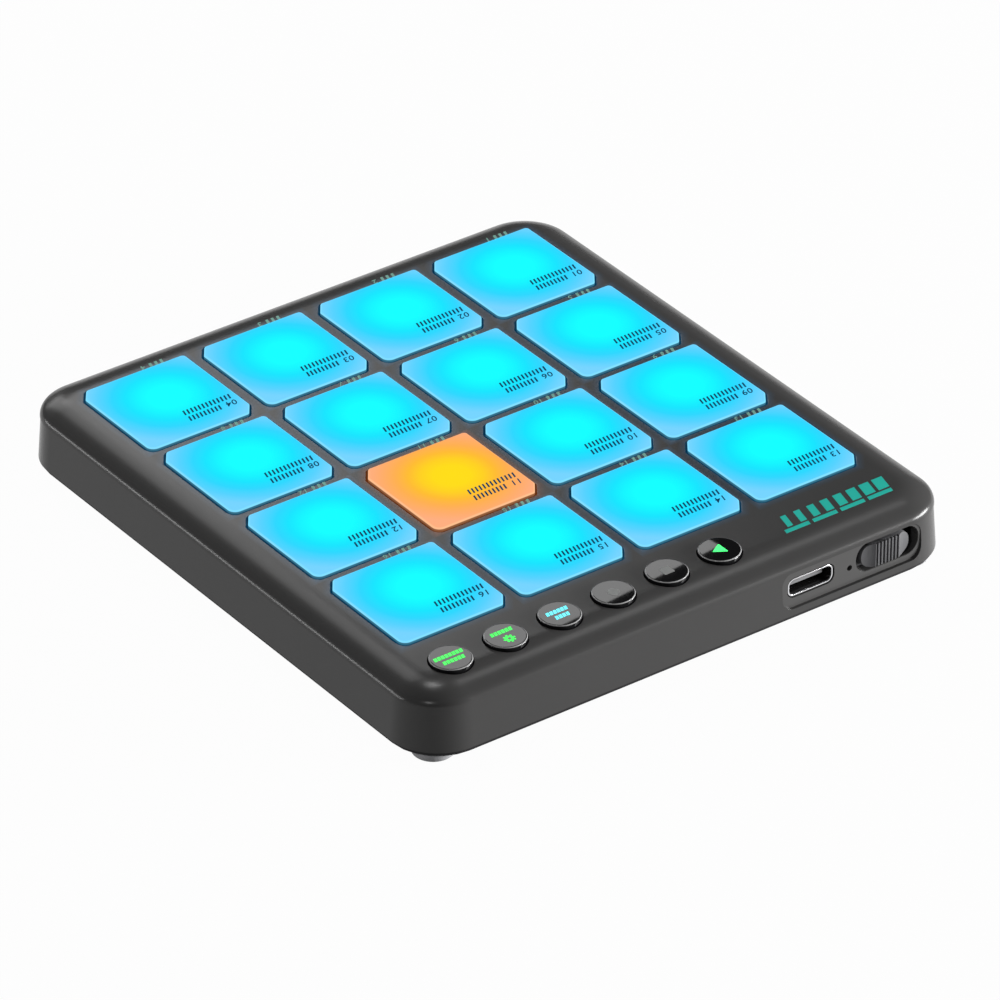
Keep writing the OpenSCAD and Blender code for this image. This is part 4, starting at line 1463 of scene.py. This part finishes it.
@dataclass
class DeckPrint:
    """Small printed marks on the deck: ticks and a number in front of each pad, and a leaning stripe."""

    label: Spot = (-7.0, -12.1)
    label_height: float = 1.15
    tick: Spot = (0.5, 1.05)
    ticks: int = 3
    number_gap: float = 0.3
    stripe: Spot = (-44.6, 45.8)
    stripe_depths: Spot = (3.05, 0.9)
    stripe_split: float = 0.45
    bar: Spot = (2.1, 2.75)
    bars: int = 8
    thinner: float = 0.15
    base_bar: Spot = (4.75, 5.5)
    base_bars: int = 4

    def build(self) -> None:
        """Model the prints and fit them."""
        top = box_mm("top_cover")[1].z
        labels = Work()
        for number, name in enumerate(pad_names(), start=1):
            middle = middle_of(name)
            x, y = middle[0] + self.label[0], middle[1] + self.label[1]
            width, pitch = self.tick
            labels.bars((x, y, top), [width] * self.ticks, pitch, self.label_height)
            place = Matrix.Translation((x + (self.ticks + self.number_gap) * pitch, y, top))
            labels.add(number_mesh(str(number), self.label_height), place)
        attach(labels.piece("deck_numbers", DIM_TEAL.material()), "case")
        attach(self._stripe(top).piece("deck_stripe", TEAL.material()), "case")

    def _stripe(self, top: float) -> Work:
        """Print a row of bars that get thinner, with a row of long thin bars behind it.

        Args:
            top: Height of the deck.

        Returns:
            The print.
        """
        x, y = self.stripe
        depth, base_depth = self.stripe_depths
        width, pitch = self.bar
        behind = depth + self.stripe_split
        work = Work()
        widths = [width - self.thinner * number for number in range(self.bars)]
        work.bars((x, y, top), widths, pitch, depth)
        width, pitch = self.base_bar
        work.bars((x + PRINT_LEAN * behind, y + behind, top), [width] * self.base_bars, pitch, base_depth)
        return work


@dataclass
class ButtonRow:
    """Six gloss caps with a rounded rim, each with a flange, a stem socket and a printed mark."""

    radius: float = 3.45
    round: float = 0.2
    flange: float = 0.6
    wall: float = 0.85
    top_thick: float = 1.2
    stem: float = 1.1
    deck_drop: float = 2.3
    support: float = 0.08
    round_steps: int = 6
    turn_steps: int = 72
    fine_bar: Point = (0.54, 0.68, 0.9)
    play: Point = (0.75, 1.44, 1.33)
    play_round: float = 0.16
    play_steps: int = 4
    stop: float = 1.86
    stop_round: float = 0.1
    record: float = 0.98
    gear_at: Spot = (0.0, 1.05)
    gear: float = 0.74
    gear_bore: float = 0.3
    gear_steps: int = 32
    teeth: int = 8
    tooth: Spot = (0.36, 0.34)
    tooth_reach: float = 0.84

    def build(self) -> None:
        """Model every cap and its mark, and fit them."""
        for mark in Mark:
            node = mark.button
            cap = self._cap(node).piece(f"{node}_cap", CAP.material())
            fit(cap, node, "button_gloss", node)
            printed = self._mark(mark)
            printed.shift((*middle_of(node), box_mm(node)[1].z))
            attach(printed.piece(f"{node}_mark", MARK_FINISHES[mark].material()), node)

    def _cap(self, node: str) -> Work:
        """Turn one cap in its place.

        Args:
            node: The button's node.

        Returns:
            The cap.
        """
        low, high = box_mm(node)
        top, under = high.z, low.z
        flange_top = top - self.deck_drop
        flange_radius = (high.x - low.x) / 2
        work = Work()
        vert = work.start((0.0, 0.0, top))
        flat = self.radius - self.round
        vert = work.line(vert, (flat - self.support, 0.0, top), (flat, 0.0, top))
        vert = work.arc(vert, (flat, 0.0, top - self.round), Y_AXIS, math.pi / 2, self.round_steps)
        inside = self.radius - self.wall
        roof = top - self.top_thick
        work.line(vert, (self.radius, 0.0, flange_top), (flange_radius, 0.0, flange_top),
                  (flange_radius, 0.0, under), (inside, 0.0, under), (inside, 0.0, roof),
                  (self.stem, 0.0, roof), (self.stem, 0.0, under), (0.0, 0.0, under))
        work.turn(self.turn_steps)
        work.shift((*middle_of(node), 0.0))
        return work

    def _mark(self, mark: Mark) -> Work:
        """Draw one mark about the origin.

        Args:
            mark: Which mark.

        Returns:
            The print.
        """
        work = Work()
        flat = [(0.0, 0.0), (0.0, PRINT_HEIGHT)]
        if mark is Mark.PLAY:
            back, tip, half = self.play
            corners = ((-back, -half), (tip, 0.0), (-back, half))
            work.solid(Outline(corners, (self.play_round,) * len(corners), self.play_steps), flat)
        elif mark is Mark.STOP:
            work.solid(rounded_rect(self.stop, self.stop, self.stop_round), flat)
        elif mark is Mark.RECORD:
            work.solid(Disc(self.record), flat)
        for count, middle in MARK_ROWS.get(mark, ()):
            self._row(work, count, middle)
        if mark is Mark.SETTINGS:
            self._gear(work)
        return work

    def _row(self, work: Work, count: int, middle: float) -> None:
        """Print a row of fine bars across the cap.

        Args:
            work: The print.
            count: Number of bars.
            middle: Place of the row in Y.
        """
        width, pitch, depth = self.fine_bar
        length = (count - 1) * pitch + width + PRINT_LEAN * depth
        work.bars((-length / 2, middle - depth / 2, 0.0), [width] * count, pitch, depth)

    def _gear(self, work: Work) -> None:
        """Draw a gear wheel with its teeth and a bore.

        Args:
            work: The print.
        """
        wheel = Work()
        discs = (Disc(self.gear, self.gear_steps), Disc(self.gear_bore, self.gear_steps))
        low, high = ([wheel.ring(disc, (0.0, height), self.gear_at) for disc in discs]
                     for height in (0.0, PRINT_HEIGHT))
        for first, second in (low, high, (low[0], high[0]), (low[1], high[1])):
            bmesh.ops.bridge_loops(wheel.bm, edges=first + second)
        mesh = bpy.data.meshes.new("wheel")
        wheel.bm.to_mesh(mesh)
        wheel.bm.free()
        work.add(mesh, Matrix.Identity(4))
        size = Matrix.Diagonal((*self.tooth, PRINT_HEIGHT, 1.0))
        middle = Matrix.Translation((self.tooth_reach, 0.0, PRINT_HEIGHT / 2))
        for tooth in range(self.teeth):
            turn = Matrix.Rotation(tooth * 2 * math.pi / self.teeth, 4, "Z")
            place = Matrix.Translation((*self.gear_at, 0.0)) @ turn
            bmesh.ops.create_cube(work.bm, size=1.0, matrix=place @ middle @ size)


@dataclass
class RearPort:
    """The USB-C socket: a drawn steel shell and a tongue with its contacts."""

    sheet: float = 0.3
    round: float = 1.2
    lip: float = 0.1
    # Depth from the front after which the shell's inside gets painted shade, and that shade's dark colour.
    shade: float = 0.25
    painted_inside_shade: Colour = (0.006, 0.006, 0.006)
    tongue: Point = (6.69, 4.6, 0.7)
    tongue_round: float = 0.2
    tongue_bevel: float = 0.15
    block: float = 1.6
    block_gap: float = 0.02
    contacts: int = 12
    contact_pitch: float = 0.5
    contact_width: float = 0.26
    contact_height: float = 0.03
    contact_margin: float = 0.6
    back: float = field(init=False)
    front: float = field(init=False)
    middle: Spot = field(init=False)
    outline: Outline = field(init=False)

    def __post_init__(self) -> None:
        """Take the socket's size and place from its CAD node."""
        low, high = box_mm("usb_shell")
        self.back, self.front = low.y, high.y
        self.middle = middle_of("usb_shell", "xz")
        self.outline = rounded_rect(high.x - low.x, high.z - low.z, self.round)

    def build(self) -> None:
        """Model the shell, the tongue and the contacts, and fit them."""
        # The shell's inside turns dark past the shade depth: painted shade inside the socket.
        steel = replace(STEEL, name="port_steel", inner=(self.front - self.shade, self.painted_inside_shade))
        shell = self._shell().piece("usb_shell_drawn", steel.material())
        fit(shell, "case", "usb_steel", "usb_shell")
        tongue = self._tongue().piece("usb_tongue_moulded", TONGUE.material())
        fit(tongue, "case", "tongue_plastic", "usb_tongue")
        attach(self._contacts().piece("usb_contacts", GOLD.material()), "case")

    def _shell(self) -> Work:
        """Draw the shell as a tube with a rounded front edge.

        Returns:
            The shell.
        """
        work = Work()
        inner, lip = -self.sheet, self.lip
        third = lip / 3
        back, front = -self.back, -self.front
        work.tube(self.outline, [
            (inner, back), (inner, front + lip), (inner + third, front + third), (inner + lip, front),
            (-lip, front), (-third, front + third), (0.0, front + lip), (0.0, back)])
        work.stand_up()
        work.shift((self.middle[0], 0.0, self.middle[1]))
        return work

    def _tongue(self) -> Work:
        """Mould the tongue on the block that closes the shell.

        Returns:
            The tongue and its block.
        """
        work = Work()
        width, length, height = self.tongue
        root = self.back + self.block
        tip = root + length
        inside = -self.sheet - self.block_gap
        work.solid(self.outline, [(inside, -self.back), (inside, -root)])
        plate = rounded_rect(width, height, self.tongue_round)
        work.solid(plate, [(0.0, -root), (0.0, -tip + self.tongue_bevel), (-self.tongue_bevel, -tip)])
        work.stand_up()
        work.shift((self.middle[0], 0.0, self.middle[1]))
        return work

    def _contacts(self) -> Work:
        """Lay the rows of contacts on both faces of the tongue.

        Returns:
            The contacts.
        """
        work = Work()
        start = self.back + self.block + self.contact_margin
        end = self.back + self.block + self.tongue[1] - self.contact_margin
        half = self.contact_width / 2
        for number in range(self.contacts):
            x = self.middle[0] + (number - (self.contacts - 1) / 2) * self.contact_pitch
            for side in (-1, 1):
                face = self.middle[1] + side * self.tongue[2] / 2
                low, high = sorted((face, face + side * self.contact_height))
                work.block((x - half, start, low), (x + half, end, high))
        return work


@dataclass
class PowerSwitch:
    """The knob of the slide switch: a raised ribbed crest between two hollow ramps."""

    round: float = 1.9
    height: float = 4.2
    rise: float = 0.5
    sink: float = 0.2
    crest: float = 4.7
    ramp: float = 2.2
    grooves: int = 7
    groove_pitch: float = 0.68
    groove_width: float = 0.37
    groove_depth: float = 0.4
    skirt: float = 0.8
    softness: float = 0.05
    soft_steps: int = 2
    soft_angle: float = 35.0
    soft_margin: float = 0.1
    ramp_steps: int = 12
    low: Vector = field(init=False)
    high: Vector = field(init=False)
    x: float = field(init=False)
    z: float = field(init=False)
    length: float = field(init=False)
    low_end: float = field(init=False)

    def __post_init__(self) -> None:
        """Take the knob's size and place from its CAD node."""
        self.low, self.high = box_mm("power_switch_knob")
        self.x, self.z = middle_of("power_switch_knob", "xz")
        self.length = self.high.x - self.low.x
        self.low_end = self.high.y - self.rise - self.sink

    def build(self) -> bpy.types.Object:
        """Model the knob and fit it.

        Returns:
            The knob.
        """
        block = Work()
        block.solid(rounded_rect(self.length, self.height, self.round),
                    [(0.0, -self.high.y - CUT_PAST), (0.0, -self.low.y - self.skirt / 2)])
        block.stand_up()
        block.shift((self.x, 0.0, self.z))
        knob = cut(block, [self._plan()], Cut.TO_COMMON)
        knob = cut(knob, [self._groove(number) for number in range(self.grooves)], Cut.AWAY)
        knob.soften(self.softness, self.soft_steps, self.soft_angle,
                    (self.low.x, self.low_end - self.soft_margin, self.low.z), tuple(self.high))
        knob.block(tuple(self.low), (self.high.x, self.low.y + self.skirt, self.high.z))
        made = knob.piece("power_knob", KNOB.material())
        return fit(made, "power_switch", "knob_plastic", "power_switch_knob")

    def _plan(self) -> Work:
        """Extrude the knob's plan: low ends, hollow ramps and a flat crest.

        Returns:
            The extruded plan, longer and taller than the knob.
        """
        rise = self.rise + self.sink
        radius = (self.ramp ** 2 + rise ** 2) / (2 * rise)
        bend = math.asin(self.ramp / radius)
        crest = self.crest / 2
        foot = crest + self.ramp
        end = self.length / 2 + CUT_PAST
        back, under = self.low.y - CUT_PAST, self.low.z - CUT_PAST
        work = Work()
        first = work.start((-end, back, under))
        vert = work.line(first, (end, back, under), (end, self.low_end, under), (foot, self.low_end, under))
        vert = work.arc(vert, (foot, self.low_end + radius, 0.0), Z_AXIS, -bend, self.ramp_steps)
        vert = work.line(vert, (-crest, self.high.y, under))
        vert = work.arc(vert, (-foot, self.low_end + radius, 0.0), Z_AXIS, -bend, self.ramp_steps)
        vert = work.line(vert, (-end, self.low_end, under))
        work.bm.edges.new((vert, first))
        made = bmesh.ops.contextual_create(work.bm, geom=work.bm.edges[:])
        raised = bmesh.ops.extrude_face_region(work.bm, geom=made["faces"])
        tops = [item for item in raised["geom"] if isinstance(item, bmesh.types.BMVert)]
        bmesh.ops.translate(work.bm, verts=tops, vec=(0.0, 0.0, self.high.z + CUT_PAST - under))
        work.shift((self.x, 0.0, 0.0))
        return work

    def _groove(self, number: int) -> Work:
        """Make the cutter of one groove across the crest.

        Args:
            number: The groove's number, from 0.

        Returns:
            The cutter.
        """
        work = Work()
        middle = self.x + (number - (self.grooves - 1) / 2) * self.groove_pitch
        half = self.groove_width / 2
        work.block((middle - half, self.high.y - self.groove_depth, self.low.z - CUT_PAST),
                   (middle + half, self.high.y + CUT_PAST, self.high.z + CUT_PAST))
        return work


@dataclass
class Feet:
    """Four round rubber feet with a rounded lower edge."""

    diameter: float = 7.0
    round: float = 0.5
    round_steps: int = 5
    support: float = 0.1

    def build(self) -> bpy.types.Object:
        """Model the feet and fit them.

        Returns:
            The feet.
        """
        low, high = box_mm("rubber_feet")
        radius = self.diameter / 2
        edge = [(grow, -height) for grow, height in quarter_round(self.round, -low.z, 0.0, self.round_steps)]
        levels = [(-self.round - self.support, low.z), *edge, (0.0, high.z)]
        feet = Work()
        for x in (low.x + radius, high.x - radius):
            for y in (low.y + radius, high.y - radius):
                feet.solid(Disc(radius), levels, (x, y))
        return fit(feet.piece("round_feet", FOOT.material()), "case", "foot_rubber", "rubber_feet")


def dress_inside() -> None:
    """Give every CAD node that is still shown the finish of its slot."""
    for part in frame["record"]["subparts"]:
        node = frame["nodes"][part["node"]]
        if node.hide_render:
            continue
        look = INSIDE[part["material_slot"]].material()
        node.data.materials.clear()
        node.data.materials.append(look)
        LOG.info("%s keeps its shape, finish %s", part["node"], look.name)


@dataclass(frozen=True)
class Panel:
    """A soft rectangular studio lamp, with its place, aim and size in metres."""

    name: str
    place: Point
    aim: Point
    size: Spot
    radiance: float
    turn: float = 0.0

    def build(self) -> bpy.types.Object:
        """Hang the lamp, turn it to its aim and then in its own plane.

        Returns:
            The lamp.
        """
        data = bpy.data.lights.new(self.name, "AREA")
        data.shape = "RECTANGLE"
        data.size, data.size_y = self.size
        data.energy = self.radiance * math.pi * self.size[0] * self.size[1]
        lamp = bpy.data.objects.new(self.name, data)
        bpy.context.scene.collection.objects.link(lamp)
        lamp.location = self.place
        facing = (Vector(self.aim) - Vector(self.place)).to_track_quat("-Z", "Y")
        lamp.rotation_euler = (facing @ Quaternion(Z_AXIS, math.radians(self.turn))).to_euler()
        return lamp


@dataclass
class Studio:
    """A pale floor, soft lamps and a camera at the photograph's viewing angle."""

    azimuth: float = 143.898
    elevation: float = 32.507
    focal_pixels: float = 7858.0
    frame_pixels: float = 1000.0
    aside: Point = (-5.178, -11.774, 1255.1)
    sensor: float = 36.0
    clip: Spot = (0.05, 50.0)
    ambient: float = 0.04
    floor_size: float = 8.0
    floor_colour: Colour = (0.42, 0.42, 0.42)
    floor_white: float = 0.975

    def build(self) -> None:
        """Set up the floor, the lamps, the world and the camera."""
        bpy.context.scene.view_settings.view_transform = "Standard"
        self._floor()
        self._world()
        for panel in self._panels():
            panel.build()
        self._camera()

    def _panels(self) -> list[Panel]:
        """Give the lamps.

        Returns:
            The lamps, not hung yet.
        """
        middle = (0.0, 0.0, 0.0)
        return [
            Panel("level_front", (-0.262, -0.618, 0.45), (-0.262, -0.618, 0.0), (0.3, 0.3), 5.3, 6.26),
            Panel("front", (-0.106, -0.923, 0.694), middle, (0.32, 0.9), 3.6),
            Panel("right_low", (0.86, -0.637, 0.075), middle, (0.9, 0.14), 12.0),
            Panel("left_low", (-0.66, 0.46, 0.1), middle, (0.48, 0.19), 56.0),
            Panel("top_left", (-0.66, -0.2, 1.14), middle, (0.2, 0.2), 7.0),
            Panel("overhead", (-0.15, -0.38, 1.25), middle, (0.2, 0.2), 25.0),
            Panel("beside_camera", (0.78, 0.56, 0.72), middle, (0.14, 0.3), 16.0),
        ]

    def _floor(self) -> None:
        """Lay a plain pale floor."""
        work = Work()
        bmesh.ops.create_grid(work.bm, x_segments=1, y_segments=1, size=self.floor_size / MM)
        work.piece("floor", make_look("pale_floor", self._floor_shader))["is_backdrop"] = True

    def _floor_shader(self, sheet: Sheet) -> Signal:
        """Draw a floor that is white to the eye and in reflections, and keeps a soft shadow.

        Args:
            sheet: The floor's sheet.

        Returns:
            The shader.
        """
        path = sheet.node("ShaderNodeLightPath")
        camera, glossy, through = (Signal(sheet, path.outputs[name]) for name in (
            "Is Camera Ray", "Is Glossy Ray", "Is Transmission Ray"))
        seen = camera.highest(glossy).highest(through)
        matte = sheet.value("ShaderNodeBsdfDiffuse", None, {"Color": opaque(self.floor_colour)})
        white = sheet.value("ShaderNodeEmission", None, {"Color": opaque((1.0, 1.0, 1.0)), "Strength": 1.0})
        return sheet.value("ShaderNodeMixShader", None, {0: seen * self.floor_white, 1: matte, 2: white})

    def _world(self) -> None:
        """Fill the room with a faint even light."""
        world = bpy.data.worlds.new("room")
        bpy.context.scene.world = world
        sheet = Sheet(world)
        sheet.surface(sheet.value("ShaderNodeBackground", None, {
            "Color": opaque((1.0, 1.0, 1.0)), "Strength": self.ambient}))

    def _camera(self) -> None:
        """Stand the camera where the photograph was taken from."""
        around, above = math.radians(self.azimuth), math.radians(self.elevation)
        level = math.cos(above)
        back = Vector((math.sin(around) * level, -math.cos(around) * level, math.sin(above)))
        right = (-back).cross(Vector(Z_AXIS)).normalized()
        down = (-back).cross(right)
        first, last = middle_of("pad_01"), middle_of("pad_16")
        grid = Vector(((first[0] + last[0]) / 2, (first[1] + last[1]) / 2, box_mm("pad_01")[1].z))
        data = bpy.data.cameras.new("camera")
        data.sensor_width = self.sensor
        data.lens = self.focal_pixels / self.frame_pixels * data.sensor_width
        data.clip_start, data.clip_end = self.clip
        camera = bpy.data.objects.new("camera", data)
        bpy.context.scene.collection.objects.link(camera)
        aside_x, aside_y, away = self.aside
        camera.location = (grid - right * aside_x - down * aside_y + back * away) * MM
        camera.rotation_mode = "QUATERNION"
        camera.rotation_quaternion = (-back).to_track_quat("-Z", "Y")
        bpy.context.scene.camera = camera


def main() -> None:
    """Build the sub-assemblies in order."""
    logging.basicConfig(level=logging.INFO, format="%(name)s: %(message)s")
    cad_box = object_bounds()
    Studio().build()
    TopCover().build()
    BottomCover().build()
    PadGrid().build()
    DeckPrint().build()
    ButtonRow().build()
    RearPort().build()
    PowerSwitch().build()
    Feet().build()
    dress_inside()
    boxes = {"cad": [list(corner) for corner in cad_box], "visual": [list(corner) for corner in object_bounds()]}


if __name__ == "__main__":
    main()
